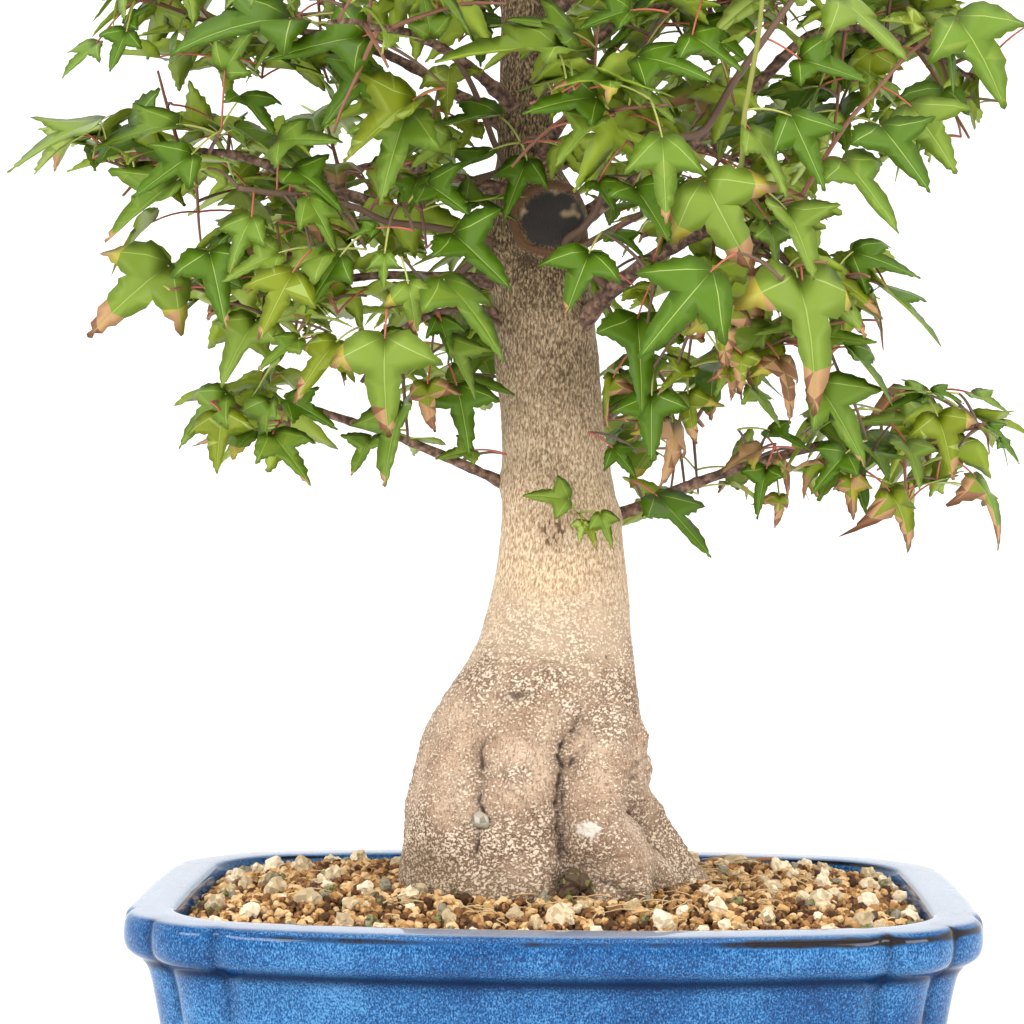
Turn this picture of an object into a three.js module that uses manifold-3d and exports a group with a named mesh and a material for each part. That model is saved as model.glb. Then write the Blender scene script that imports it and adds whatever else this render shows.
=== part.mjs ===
// Trident maple bonsai in a glazed rectangular pot. Millimetres, +Z up.
// The origin is on the table under the middle of the pot, +X is to the right and -Y is the front.
import * as THREE from "three";
import { mergeVertices } from "three/addons/utils/BufferGeometryUtils.js";
import Module from "manifold-3d";

const wasm = await Module();
wasm.setup();

const CLEAR = 0.3; // between neighbouring solids
const FULL_TURN = 2 * Math.PI;
const GOLDEN_TURN = Math.PI * (3 - Math.sqrt(5));

// Pot: a rectangle with bowed sides and quarter-round corners, each corner reeded into two lobes.
const POT_WIDTH = 300; // at the corners
const POT_DEPTH = 194; // at the corners
const SIDE_BOW = 3.5; // how far the short sides bow out in the middle
const FRONT_BOW = 25; // how far the long sides bow out in the middle
const BOW_REACH = 40; // from the pot's middle lines, where the bow is full
const WALL_SHARES = [0.2, 0.4, 0.6, 0.8]; // where a wall has points between its corners
const POT_HEIGHT = 85;
const CORNER_RADIUS = 36;
const CORNER_SHRINK = 0.5; // how much a corner's radius loses for each millimetre of inset
const CORNER_ANGLES = [0, 9, 24, 39, 45, 51, 66, 81, 90]; // degrees round a corner
const REED_ANGLES = [0, 45, 90]; // where a groove runs down the corner
const REED_RUN_OUT = 6; // from the last groove to the plain wall
const FLOOR_TOP = 14;
const INNER_TOP = 83.5;
const INNER_TOP_INSET = 19.5;
const INNER_FLOOR_INSET = 30;
// Outer wall, rim and inner wall: height, inset from the rim's outline and depth of the corner grooves.
const POT_PROFILE = [
  { z: 0, inset: 24, groove: 2 },
  { z: 9, inset: 21, groove: 2.4 },
  { z: 60, inset: 10, groove: 3 },
  { z: 67, inset: 8, groove: 3 },
  { z: 71, inset: 1.4, groove: 2.8 },
  { z: 75, inset: 0, groove: 2.6 },
  { z: 81, inset: 0, groove: 2.4 },
  { z: POT_HEIGHT, inset: 3, groove: 1.6 },
  { z: POT_HEIGHT, inset: 18, groove: 0 },
  { z: INNER_TOP, inset: INNER_TOP_INSET, groove: 0 },
  { z: FLOOR_TOP, inset: INNER_FLOOR_INSET, groove: 0 },
];
const FOOT_HEIGHT = 7;
const FOOT_LENGTH = 50; // along the long sides, from the underside's end
const FOOT_WIDTH = 24.5; // along the short sides, at the corner
const DRAIN_RADIUS = 9;
const DRAIN_SPACING = 130;
const DRAIN_SIDES = 12;

// Soil: level near the wall, mounded to a plateau that the trunk stands on.
const SOIL_EDGE = 80;
const SOIL_TOP = 88;
const MOUND_INSET = 62;
// Pumice stones that stand half out of the soil.
const STONE_COUNT = 36;
const STONE_RADII = [3, 4.4];
const STONE_INSET = 27;
const STONE_TRUNK_GAP = 72; // from the trunk's axis
const STONE_STEPS = [0.7549, 0.5698]; // spread the stones evenly over the length and depth

// Trunk stations: height, sideways drift of the axis and radius.
const TRUNK_FOOT = SOIL_TOP + CLEAR;
const TRUNK_STATIONS = [
  { z: TRUNK_FOOT, drift: -8, radius: 43 },
  { z: 125, drift: -9, radius: 43.5 },
  { z: 155, drift: -6, radius: 37 },
  { z: 180, drift: -0.5, radius: 28.5 },
  { z: 211, drift: 2, radius: 23.2 },
  { z: 250, drift: -1, radius: 19.6 },
  { z: 300, drift: -5.5, radius: 18.6 },
  { z: 338, drift: -8.5, radius: 17 },
  { z: 358, drift: -11.8, radius: 11 },
  { z: 415, drift: -11.8, radius: 9 },
  { z: 455, drift: -9, radius: 5.6 },
  { z: 486, drift: -7, radius: 2.2 },
];
const TRUNK_SIDES = 30;
const TRUNK_STEPS = 20;
const TRUNK_CROWDING = 1.3; // how much closer the rings stand at the foot
const TRUNK_FLATTEN = 0.94; // depth over width
// Root buttresses: direction in degrees, half width in degrees, reach at the ground and height of the top.
const ROOTS = [
  { turn: 210, spread: 44, reach: 7, top: 185 },
  { turn: 258, spread: 24, reach: 8, top: 168 },
  { turn: 304, spread: 17, reach: 19, top: 156 },
  { turn: 8, spread: 24, reach: 23, top: 124 },
  { turn: 68, spread: 32, reach: 13, top: 150 },
  { turn: 138, spread: 34, reach: 12, top: 158 },
];
const ROOT_FLARE = 1.5; // how fast a root swells towards the ground

// Limbs, lowest first. A bough leaves the trunk's axis at a height, turned from +X towards the back, and
// its tip lies a length out and a rise up, with its middle lifted off the straight line. Its leaves fill an
// ellipsoid past the tip, with half sizes along, across and tall, that hangs below the tip.
const LIMBS = [
  { name: "right_low", height: 214, turn: 7, length: 96, rise: 36, lift: 3, thick: 2.8,
    along: 62, across: 48, tall: 36, hang: 2 },
  { name: "left_low", height: 223, turn: 187, length: 88, rise: 38, lift: 4, thick: 2.6,
    along: 44, across: 44, tall: 32, hang: 0 },
  { name: "right_behind", height: 240, turn: 48, length: 48, rise: 30, lift: 3, thick: 2.8,
    along: 44, across: 50, tall: 46, hang: 12 },
  { name: "right_main", height: 283, turn: 322, length: 68, rise: 42, lift: 4, thick: 4.4,
    along: 62, across: 58, tall: 54, hang: 24 },
  { name: "left_mid", height: 290, turn: 204, length: 36, rise: 10, lift: 3, thick: 2.4,
    along: 42, across: 44, tall: 46, hang: 28 },
  { name: "back_low", height: 296, turn: 100, length: 58, rise: 16, lift: 4, thick: 3.2,
    along: 58, across: 66, tall: 54, hang: 12 },
  { name: "left_under", height: 305, turn: 196, length: 68, rise: 6, lift: 3, thick: 2.6,
    along: 62, across: 54, tall: 42, hang: 12 },
  { name: "left_main", height: 324, turn: 182, length: 98, rise: 28, lift: -3, thick: 3.4,
    along: 70, across: 60, tall: 44, hang: -2 },
  { name: "right_upper", height: 326, turn: 6, length: 98, rise: 74, lift: -6, thick: 3.6,
    along: 78, across: 66, tall: 60, hang: 12 },
  { name: "back_left", height: 332, turn: 134, length: 82, rise: 28, lift: 4, thick: 3.2,
    along: 62, across: 64, tall: 52, hang: 6 },
  { name: "left_inner", height: 338, turn: 224, length: 36, rise: 8, lift: 2, thick: 2.4,
    along: 46, across: 46, tall: 48, hang: 2 },
  { name: "front_mid", height: 348, turn: 290, length: 46, rise: 20, lift: 3, thick: 2.6,
    along: 50, across: 54, tall: 48, hang: 6 },
  { name: "back_right", height: 350, turn: 48, length: 76, rise: 20, lift: 4, thick: 3.2,
    along: 62, across: 64, tall: 52, hang: 6 },
  { name: "left_upper", height: 362, turn: 186, length: 66, rise: 36, lift: 4, thick: 2.8,
    along: 72, across: 60, tall: 44, hang: -8 },
  { name: "front_left", height: 370, turn: 240, length: 76, rise: 22, lift: 4, thick: 2.8,
    along: 60, across: 58, tall: 46, hang: 2 },
  { name: "right_inner", height: 376, turn: 328, length: 44, rise: 28, lift: 3, thick: 2.6,
    along: 58, across: 56, tall: 48, hang: 0 },
  { name: "top_right", height: 402, turn: 12, length: 50, rise: 34, lift: 4, thick: 2.8,
    along: 72, across: 68, tall: 50, hang: 2 },
  { name: "top_left", height: 408, turn: 168, length: 48, rise: 28, lift: 4, thick: 2.8,
    along: 72, across: 68, tall: 50, hang: 2 },
  { name: "top_back", height: 416, turn: 95, length: 42, rise: 28, lift: 4, thick: 2.4,
    along: 60, across: 64, tall: 50, hang: 2 },
  { name: "top_front", height: 422, turn: 275, length: 40, rise: 28, lift: 4, thick: 2.4,
    along: 62, across: 64, tall: 50, hang: 2 },
];
const APEX = { name: "apex", along: 62, across: 62, tall: 58, climb: 18 };
const BOUGH_SIDES = 5;
const BOUGH_STEPS = 5;
const BOUGH_TAPER = 0.55; // radius at the tip over radius at the trunk
const MASS_FORWARD = 0.5; // from a bough's tip to its mass's middle, over the mass's half length

// Twigs and leaves.
const STEM_REACH = 0.35; // how far the stem runs past the middle of its mass, over the half length
const STEM_JOINTS = [0.92, 0.3]; // where the first and last twig leave the stem
const STEM_STEPS = 3;
const STEM_SHARE = 0.9; // stem radius over the radius of the tip that it grows from
const STEM_BEND = 0.4; // how far the stem keeps its bough's heading, over its length
const STEM_TIP_RADIUS = 1.1;
const TWIG_RADIUS = 1.4;
const TWIG_TIP_RADIUS = 1.2;
const TWIG_SIDES = 3;
const SPRAY_REACH = [0.4, 0.8]; // from the mass's middle to the end of a twig, over the half size
const SPRAY_BAND = [1, -0.7]; // from the far end of the mass back towards the bough
const SPRAY_SECTION = 650; // square millimetres of a mass's mean section for each spray
const SPRAY_JOINTS = [0.93, 0.93, 0.5, 0.5]; // where each leaf of a spray stands along its twig
const SPRAY_TURNS = [0.6, -0.6, 1.6, -1.6]; // how far each is turned from the twig, in radians
const LEAF_LENGTH = [44, 62]; // stalk and blade together
const LEAF_THICK = 1;
// Half of the three-lobed leaf on its stalk: distance along the midrib and out from it, over the length.
const LEAF_NECK = [0.27, 0.02];
const LEAF_LOBE = [0.6, 0.38];
const LEAF_NOTCH = [0.64, 0.15];
const LEAF_TIP = [1, 0];
const LEAF_CREST = 0.52; // the thickest point, along the midrib
const STALK_RADIUS = 0.5;
const LEAF_DROOP = [-0.2, 1.1]; // radians below level
const LEAF_ROLL = 0.6;
const LEAF_WANDER = 0.9; // radians either way
const WANDER_GROWTH = 0.125; // how much wider each further try wanders
const TWIG_TRIES = 6;
const LEAF_TRIES = 24;
const TEST_START = 3; // from a leaf's or twig's root, where it must have come clear
const JOIN_TOLERANCE = 0.01; // slivers that the joins leave are merged within this

const GLAZE = { color: 0x2d64af, roughness: 0.12, metalness: 0 };
const GRIT = { color: 0xa27a4e, roughness: 0.95, metalness: 0 };
const BARK = { color: 0xbfa284, roughness: 0.85, metalness: 0 };
const FOLIAGE = { color: 0x4f8233, roughness: 0.55, metalness: 0 };

// A repeatable stream of numbers from 0 to 1.
function seeded(seed) {
  let state = seed >>> 0;
  return () => {
    state = (Math.imul(state, 1664525) + 1013904223) >>> 0;
    return state / 2 ** 32;
  };
}

function between([low, high], share) {
  return low + (high - low) * share;
}

function heading(turn) {
  return new THREE.Vector3(Math.cos(turn), Math.sin(turn), 0);
}

function solidOf(geometry) {
  geometry.deleteAttribute("normal");
  geometry.deleteAttribute("uv");
  const merged = mergeVertices(geometry);
  const vertProperties = merged.attributes.position.array;
  const triVerts = new Uint32Array(merged.index.array);
  return new wasm.Manifold(new wasm.Mesh({ numProp: 3, vertProperties, triVerts }));
}

// A closed skin over a stack of rings of equally many points, anticlockwise seen from the stack's end.
function skin(rings) {
  const around = rings[0].length;
  const middles = rings.map((ring) =>
    ring.reduce((sum, point) => sum.add(point), new THREE.Vector3()).divideScalar(around),
  );
  const geometry = new THREE.CylinderGeometry(1, 1, 1, around, rings.length - 1);
  const places = geometry.attributes.position;
  const spot = new THREE.Vector3();
  for (let i = 0; i < places.count; i++) {
    spot.fromBufferAttribute(places, i);
    const level = Math.round((spot.y + 0.5) * (rings.length - 1));
    const step = Math.round((Math.atan2(spot.x, spot.z) / FULL_TURN) * around);
    const onRing = Math.hypot(spot.x, spot.z) > 0.5;
    const place = onRing ? rings[level][(step + around) % around] : middles[level];
    places.setXYZ(i, place.x, place.y, place.z);
  }
  return solidOf(geometry);
}

// A round limb along a curve, tapering from one radius to another.
function limb(curve, startRadius, endRadius, sides, steps) {
  const frames = curve.computeFrenetFrames(steps);
  const rings = [];
  for (let k = 0; k <= steps; k++) {
    const middle = curve.getPointAt(k / steps);
    const radius = between([startRadius, endRadius], k / steps);
    const ring = [];
    for (let i = 0; i < sides; i++) {
      const angle = (FULL_TURN * i) / sides;
      ring.push(
        middle
          .clone()
          .addScaledVector(frames.normals[k], radius * Math.cos(angle))
          .addScaledVector(frames.binormals[k], radius * Math.sin(angle)),
      );
    }
    rings.push(ring);
  }
  return skin(rings);
}

// A point of the straight-sided pot moved out to where the bowed sides carry it.
function bowed({ x, y, z }) {
  const outX = SIDE_BOW * (1 - ((2 * y) / POT_DEPTH) ** 2) * THREE.MathUtils.clamp(x / BOW_REACH, -1, 1);
  const outY = FRONT_BOW * (1 - ((2 * x) / POT_WIDTH) ** 2) * THREE.MathUtils.clamp(y / BOW_REACH, -1, 1);
  return new THREE.Vector3(x + outX, y + outY, z);
}

// One corner of the straight-sided pot at one level, counted anticlockwise from the back right.
function potCorner(corner, { z, inset, groove }) {
  const radius = CORNER_RADIUS - CORNER_SHRINK * inset;
  const start = (corner * Math.PI) / 2;
  const sideX = corner === 0 || corner === 3 ? 1 : -1;
  const sideY = corner < 2 ? 1 : -1;
  const centre = new THREE.Vector3(
    sideX * (POT_WIDTH / 2 - inset - radius),
    sideY * (POT_DEPTH / 2 - inset - radius),
    z,
  );
  const wallBefore = heading(start).multiplyScalar(radius);
  const wallAfter = heading(start + Math.PI / 2).multiplyScalar(radius);
  const reeds = CORNER_ANGLES.map((angle) => {
    const depth = REED_ANGLES.includes(angle) ? groove : 0;
    return centre.clone().addScaledVector(heading(start + THREE.MathUtils.degToRad(angle)), radius - depth);
  });
  return [
    centre.clone().add(wallBefore).addScaledVector(heading(start - Math.PI / 2), REED_RUN_OUT),
    ...reeds,
    centre.clone().add(wallAfter).addScaledVector(heading(start + Math.PI), REED_RUN_OUT),
  ];
}

// The pot's outline in plan at one level, anticlockwise from the right-hand side.
function potOutline(level) {
  const corners = [0, 1, 2, 3].map((corner) => potCorner(corner, level));
  const ring = corners.flatMap((points, i) => {
    const next = corners[(i + 1) % 4][0];
    return [...points, ...WALL_SHARES.map((share) => points.at(-1).clone().lerp(next, share))];
  });
  return ring.map(bowed);
}

function box(width, depth, height, z) {
  return solidOf(new THREE.BoxGeometry(width, depth, height).translate(0, 0, z));
}

// The walls stand on four corner feet, and two drains go through the floor.
function pot() {
  const underside = POT_PROFILE[0].inset;
  const spanX = POT_WIDTH - 2 * (underside + FOOT_LENGTH);
  const spanY = POT_DEPTH - 2 * (underside + FOOT_WIDTH);
  const channelHeight = 2 * FOOT_HEIGHT;
  let body = skin(POT_PROFILE.map(potOutline));
  body = body.subtract(box(spanX, POT_DEPTH + 2 * FRONT_BOW, channelHeight, 0));
  body = body.subtract(box(POT_WIDTH + 2 * SIDE_BOW, spanY, channelHeight, 0));
  for (const side of [-1, 1]) {
    const drain = new THREE.CylinderGeometry(DRAIN_RADIUS, DRAIN_RADIUS, 3 * FLOOR_TOP, DRAIN_SIDES);
    drain.rotateX(Math.PI / 2).translate((side * DRAIN_SPACING) / 2, 0, 0);
    body = body.subtract(solidOf(drain));
  }
  return body;
}

// How far in from the rim's outline the soil's side is at one height.
function wallInset(z) {
  const fall = (INNER_FLOOR_INSET - INNER_TOP_INSET) / (INNER_TOP - FLOOR_TOP);
  return INNER_TOP_INSET + fall * (INNER_TOP - z) + CLEAR;
}

function soil() {
  const bottom = FLOOR_TOP + CLEAR;
  const levels = [
    { z: bottom, inset: wallInset(bottom), groove: 0 },
    { z: SOIL_EDGE, inset: wallInset(SOIL_EDGE), groove: 0 },
    { z: SOIL_TOP, inset: MOUND_INSET, groove: 0 },
  ];
  return stones().reduce((bed, stone) => bed.add(stone), skin(levels.map(potOutline)));
}

// Stones spread over the mound, clear of the wall and the trunk.
function stones() {
  const wall = wallInset(SOIL_EDGE);
  const made = [];
  for (let k = 1; made.length < STONE_COUNT; k++) {
    const [across, deep] = STONE_STEPS.map((step) => 2 * ((k * step) % 1) - 1);
    const x = across * (POT_WIDTH / 2 - STONE_INSET);
    const y = deep * (POT_DEPTH / 2 - STONE_INSET);
    const inset = Math.min(POT_WIDTH / 2 - Math.abs(x), POT_DEPTH / 2 - Math.abs(y));
    const rise = THREE.MathUtils.clamp((inset - wall) / (MOUND_INSET - wall), 0, 1);
    const spot = bowed({ x, y, z: between([SOIL_EDGE, SOIL_TOP], rise) });
    if (Math.hypot(spot.x, spot.y) < STONE_TRUNK_GAP) continue;
    const stone = new THREE.IcosahedronGeometry(between(STONE_RADII, (k * GOLDEN_TURN) % 1), 0);
    made.push(solidOf(stone.rotateZ(k).translate(spot.x, spot.y, spot.z)));
  }
  return made;
}

const trunkShape = new THREE.CubicInterpolant(
  TRUNK_STATIONS.map((station) => station.z),
  TRUNK_STATIONS.flatMap((station) => [station.drift, station.radius]),
  2,
);

function trunkAxis(z) {
  return new THREE.Vector3(trunkShape.evaluate(z)[0], 0, z);
}

// How far the root buttresses stand out in one direction at one height.
function rootSwell(turn, z) {
  let swell = 0;
  for (const root of ROOTS) {
    const off = THREE.MathUtils.euclideanModulo(THREE.MathUtils.radToDeg(turn) - root.turn + 180, 360) - 180;
    const rise = THREE.MathUtils.clamp((root.top - z) / (root.top - TRUNK_FOOT), 0, 1);
    swell += root.reach * Math.exp(-((off / root.spread) ** 2)) * rise ** ROOT_FLARE;
  }
  return swell;
}

// The trunk from its flat cut at the ground to its tip, grown outwards by a margin.
function trunk(margin = 0) {
  const tip = TRUNK_STATIONS.at(-1).z;
  const rings = [];
  for (let k = 0; k <= TRUNK_STEPS; k++) {
    const z = between([TRUNK_FOOT, tip], (k / TRUNK_STEPS) ** TRUNK_CROWDING);
    const middle = trunkAxis(z);
    const radius = trunkShape.evaluate(z)[1];
    const ring = [];
    for (let i = 0; i < TRUNK_SIDES; i++) {
      const turn = (FULL_TURN * i) / TRUNK_SIDES;
      const reach = radius + rootSwell(turn, z) + margin;
      const out = heading(turn).multiplyScalar(reach);
      out.y *= TRUNK_FLATTEN;
      ring.push(middle.clone().add(out));
    }
    rings.push(ring);
  }
  return skin(rings);
}

// The line of a bough from the trunk's axis to its tip.
function boughCurve({ height, turn, length, rise, lift }) {
  const start = trunkAxis(height);
  const out = heading(THREE.MathUtils.degToRad(turn));
  const tip = start.clone().addScaledVector(out, length);
  tip.z += rise;
  const bend = start.clone().lerp(tip, 0.5);
  bend.z += 2 * lift;
  return new THREE.QuadraticBezierCurve3(start, bend, tip);
}

// The space that a mass of leaves keeps to: a turned ellipsoid, and where its root and heading are.
function massSpace(row) {
  const isApex = row === APEX;
  const curve = isApex ? null : boughCurve(row);
  const tip = isApex ? trunkAxis(TRUNK_STATIONS.at(-1).z) : curve.getPoint(1);
  const growth = isApex ? new THREE.Vector3(0, 0, 1) : curve.getTangent(1);
  const along = heading(isApex ? 0 : THREE.MathUtils.degToRad(row.turn));
  const across = new THREE.Vector3(-along.y, along.x, 0);
  const centre = tip.clone();
  if (isApex) {
    centre.z += row.climb;
  } else {
    centre.addScaledVector(along, MASS_FORWARD * row.along);
    centre.z -= row.hang;
  }
  const size = new THREE.Vector3(row.along, row.across, row.tall);
  const root = tip.addScaledVector(growth, CLEAR);
  const tipRadius = isApex ? TRUNK_STATIONS.at(-1).radius : row.thick * BOUGH_TAPER;
  const weight = ((size.x + size.y + size.z) / 3) ** 2;
  return { row, root, growth, along, across, centre, size, weight, stemRadius: STEM_SHARE * tipRadius };
}

function inEllipsoid(space, point) {
  const off = point.clone().sub(space.centre);
  return Math.hypot(off.dot(space.along) / space.size.x, off.dot(space.across) / space.size.y,
    off.z / space.size.z) <= 1;
}

// Between two masses the border is a plane, so that each one's part of the crown is convex.
function inOwnPart(space, spaces, point) {
  const own = point.distanceToSquared(space.centre) - space.weight;
  return spaces.every((other) => {
    if (other === space) return true;
    const border = 2 * CLEAR * other.centre.distanceTo(space.centre);
    return own + border < point.distanceToSquared(other.centre) - other.weight;
  });
}

// A point of a mass given by shares of its half sizes.
function massPoint(space, along, across, up) {
  return space.centre
    .clone()
    .addScaledVector(space.along, along * space.size.x)
    .addScaledVector(space.across, across * space.size.y)
    .add(new THREE.Vector3(0, 0, up * space.size.z));
}

function stemCurve(space) {
  const end = space.row === APEX ? massPoint(space, 0, 0, STEM_REACH) : massPoint(space, STEM_REACH, 0, 0);
  const bend = space.root.clone().addScaledVector(space.growth, STEM_BEND * space.root.distanceTo(end));
  return new THREE.QuadraticBezierCurve3(space.root, bend, end);
}

function stem(space, margin = 0) {
  const tip = STEM_TIP_RADIUS + margin;
  return limb(stemCurve(space), space.stemRadius + margin, tip, TWIG_SIDES, STEM_STEPS);
}

// A three-lobed leaf on its stalk, as one closed solid of 11 points.
function leaf(root, way, side, length) {
  const crown = side.clone().cross(way);
  const at = ([along, out], hand, up = 0) =>
    root
      .clone()
      .addScaledVector(way, along * length)
      .addScaledVector(side, hand * out * length)
      .addScaledVector(crown, up);
  const points = [
    root.clone().addScaledVector(side, STALK_RADIUS),
    root.clone().addScaledVector(side, -STALK_RADIUS),
    root.clone().addScaledVector(crown, STALK_RADIUS),
    at(LEAF_NECK, 1),
    at(LEAF_LOBE, 1),
    at(LEAF_NOTCH, 1),
    at(LEAF_TIP, 1),
    at(LEAF_NOTCH, -1),
    at(LEAF_LOBE, -1),
    at(LEAF_NECK, -1),
    at([LEAF_CREST, 0], 1, LEAF_THICK),
  ];
  const stalkFaces = [0, 2, 1, 2, 0, 3, 2, 3, 10, 2, 10, 9, 2, 9, 1];
  const upperFaces = [10, 3, 4, 10, 4, 5, 10, 5, 6, 10, 6, 7, 10, 7, 8, 10, 8, 9];
  const lowerFaces = [0, 1, 9, 0, 9, 3, 3, 9, 7, 3, 7, 5, 3, 5, 4, 9, 8, 7, 5, 7, 6];
  const geometry = new THREE.BufferGeometry().setFromPoints(points);
  geometry.setIndex([...stalkFaces, ...upperFaces, ...lowerFaces]);
  return { points, solid: solidOf(geometry) };
}

// A straight twig from its stem, and the same twig without its root.
function twig(start, end) {
  const past = start.clone().lerp(end, TEST_START / start.distanceTo(end));
  const shaft = (from) => limb(new THREE.LineCurve3(from, end), TWIG_RADIUS, TWIG_TIP_RADIUS, TWIG_SIDES, 1);
  return { points: [past, end], whole: shaft(start), pastRoot: shaft(past) };
}

// A leaf that droops from its twig in a drawn direction, and the same leaf without the root of its stalk.
function droopingLeaf(root, turn, draw) {
  const up = new THREE.Vector3(0, 0, 1);
  const out = heading(turn);
  const droop = between(LEAF_DROOP, draw());
  const way = out.clone().multiplyScalar(Math.cos(droop)).addScaledVector(up, -Math.sin(droop));
  const side = out.clone().cross(up).applyAxisAngle(way, LEAF_ROLL * (2 * draw() - 1));
  const length = between(LEAF_LENGTH, draw());
  const { points, solid } = leaf(root, way, side, length);
  const past = root.clone().addScaledVector(way, TEST_START);
  const pastRoot = leaf(past, way, side, length - TEST_START).solid;
  return { points: points.slice(3), whole: solid, pastRoot };
}

// One mass: a stem, twigs to points spread over the ellipsoid, and a spray of leaves on each twig.
// A twig or leaf that would leave the mass's space, touch a limb or cross what has grown is skipped.
function growMass(space, spaces, keepOut, seed) {
  const draw = seeded(seed);
  const curve = stemCurve(space);
  const { x, y, z } = space.size;
  const sprays = Math.round((x * y + y * z + z * x) / 3 / SPRAY_SECTION);
  const fits = (point) => inEllipsoid(space, point) && inOwnPart(space, spaces, point);
  const apart = (one, other) => one.intersect(other).isEmpty();
  let grown = stem(space);
  const join = ({ points, whole, pastRoot }) => {
    const room = points.every(fits) && apart(whole, keepOut) && apart(pastRoot, grown);
    if (room) grown = grown.add(whole);
    return room;
  };
  for (let k = 0; k < sprays; k++) {
    const share = (k + 0.5) / sprays;
    const start = curve.getPoint(between(STEM_JOINTS, share));
    const polar = between(SPRAY_BAND, share);
    let end = null;
    for (let attempt = 0; attempt < TWIG_TRIES && !end; attempt++) {
      const around = GOLDEN_TURN * k + (1 + attempt) * draw();
      const reach = between(SPRAY_REACH, draw());
      const ring = reach * Math.sqrt(1 - polar * polar);
      const target = massPoint(space, reach * polar, ring * Math.cos(around), ring * Math.sin(around));
      if (start.distanceTo(target) > 2 * TEST_START && join(twig(start, target))) end = target;
    }
    if (!end) continue;
    const outward = end.clone().sub(space.centre);
    const spread = Math.atan2(outward.y, outward.x);
    SPRAY_JOINTS.forEach((joint, j) => {
      const root = start.clone().lerp(end, joint);
      for (let attempt = 0; attempt < LEAF_TRIES; attempt++) {
        const wander = LEAF_WANDER * (1 + WANDER_GROWTH * attempt) * (2 * draw() - 1);
        if (join(droopingLeaf(root, spread + SPRAY_TURNS[j] + wander, draw))) break;
      }
    });
  }
  const bodies = grown.asOriginal().simplify(JOIN_TOLERANCE).decompose();
  return bodies.reduce((largest, body) => (body.volume() > largest.volume() ? body : largest));
}

const group = new THREE.Group();

function place(name, solid, look) {
  const { vertProperties, triVerts } = solid.getMesh();
  const geometry = new THREE.BufferGeometry();
  geometry.setAttribute("position", new THREE.BufferAttribute(vertProperties, 3));
  geometry.setIndex(new THREE.BufferAttribute(triVerts, 1));
  geometry.computeVertexNormals();
  const mesh = new THREE.Mesh(geometry, new THREE.MeshStandardMaterial(look));
  mesh.name = name;
  group.add(mesh);
}

place("pot", pot(), GLAZE);
place("soil", soil(), GRIT);
place("trunk", trunk(), BARK);

const trunkRoom = trunk(CLEAR);
let keepOut = trunkRoom;
for (const row of LIMBS) {
  const tip = row.thick * BOUGH_TAPER;
  const bough = limb(boughCurve(row), row.thick, tip, BOUGH_SIDES, BOUGH_STEPS).subtract(trunkRoom);
  place(row.name + "_bough", bough, BARK);
  keepOut = keepOut.add(limb(boughCurve(row), row.thick + CLEAR, tip + CLEAR, BOUGH_SIDES, BOUGH_STEPS));
}

const spaces = [...LIMBS, APEX].map(massSpace);
const stemRooms = spaces.map((space) => stem(space, CLEAR));
spaces.forEach((space, i) => {
  const others = stemRooms.filter((room, k) => k !== i).reduce((sum, room) => sum.add(room), keepOut);
  place(space.row.name + "_leaves", growMass(space, spaces, others, i + 1), FOLIAGE);
});

export default group;
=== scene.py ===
# A trident maple bonsai in a blue glazed pot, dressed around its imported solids.
import math

import bmesh
import bpy
import numpy as np
from mathutils import Matrix, Vector, noise


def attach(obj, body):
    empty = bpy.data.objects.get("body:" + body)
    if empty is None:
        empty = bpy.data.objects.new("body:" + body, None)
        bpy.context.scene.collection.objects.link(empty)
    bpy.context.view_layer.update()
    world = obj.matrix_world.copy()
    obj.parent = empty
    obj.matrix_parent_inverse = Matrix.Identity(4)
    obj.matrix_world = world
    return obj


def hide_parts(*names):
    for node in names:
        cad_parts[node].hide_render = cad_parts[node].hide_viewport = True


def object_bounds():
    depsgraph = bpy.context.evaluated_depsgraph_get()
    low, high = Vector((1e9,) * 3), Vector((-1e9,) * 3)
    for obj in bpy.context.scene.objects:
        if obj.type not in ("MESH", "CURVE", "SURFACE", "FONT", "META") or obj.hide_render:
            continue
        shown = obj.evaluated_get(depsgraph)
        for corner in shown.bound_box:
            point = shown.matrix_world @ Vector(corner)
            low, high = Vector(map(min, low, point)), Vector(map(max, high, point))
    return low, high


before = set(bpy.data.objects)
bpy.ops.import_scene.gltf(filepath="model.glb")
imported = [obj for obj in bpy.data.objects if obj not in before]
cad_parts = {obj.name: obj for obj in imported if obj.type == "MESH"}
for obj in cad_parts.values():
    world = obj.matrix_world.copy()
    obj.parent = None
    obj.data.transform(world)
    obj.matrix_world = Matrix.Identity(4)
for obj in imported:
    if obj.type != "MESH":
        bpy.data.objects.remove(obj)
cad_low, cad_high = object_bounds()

# The studio: a pale floor that sweeps up into a round wall, a broad soft light overhead and one on
# each side, and a long lens level with the lowest boughs. None of it belongs to the tree.
CAMERA_LENS = 104.8  # millimetres, as is the sensor's width
CAMERA_SENSOR = 36
CAMERA_PLACE = Vector((0.0134, -1.109, 0.237))
CAMERA_AHEAD = Vector((-0.027, 0.9996, -0.011)).normalized()
CAMERA_ROLL = 0.0053
FLOOR_RADIUS = 5.0
SWEEP_RADIUS = 1.5
WALL_TOP = 6.0
FLOOR_GREY = 0.86
FLOOR_GLOW = 0.34
SKY_STRENGTH = 0.9
SOFT_LIGHTS = {  # place, width, height and watts, each aimed at the lowest boughs
    "overhead": ((0.1, -0.25, 1.7), 1.9, 1.9, 18),
    "left": ((-1.5, -1.25, 0.95), 1.5, 0.4, 18),
    "right": ((1.55, -1.15, 0.85), 1.5, 0.4, 14),
}
LIGHT_AIM = Vector((0, 0, 0.25))


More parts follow.
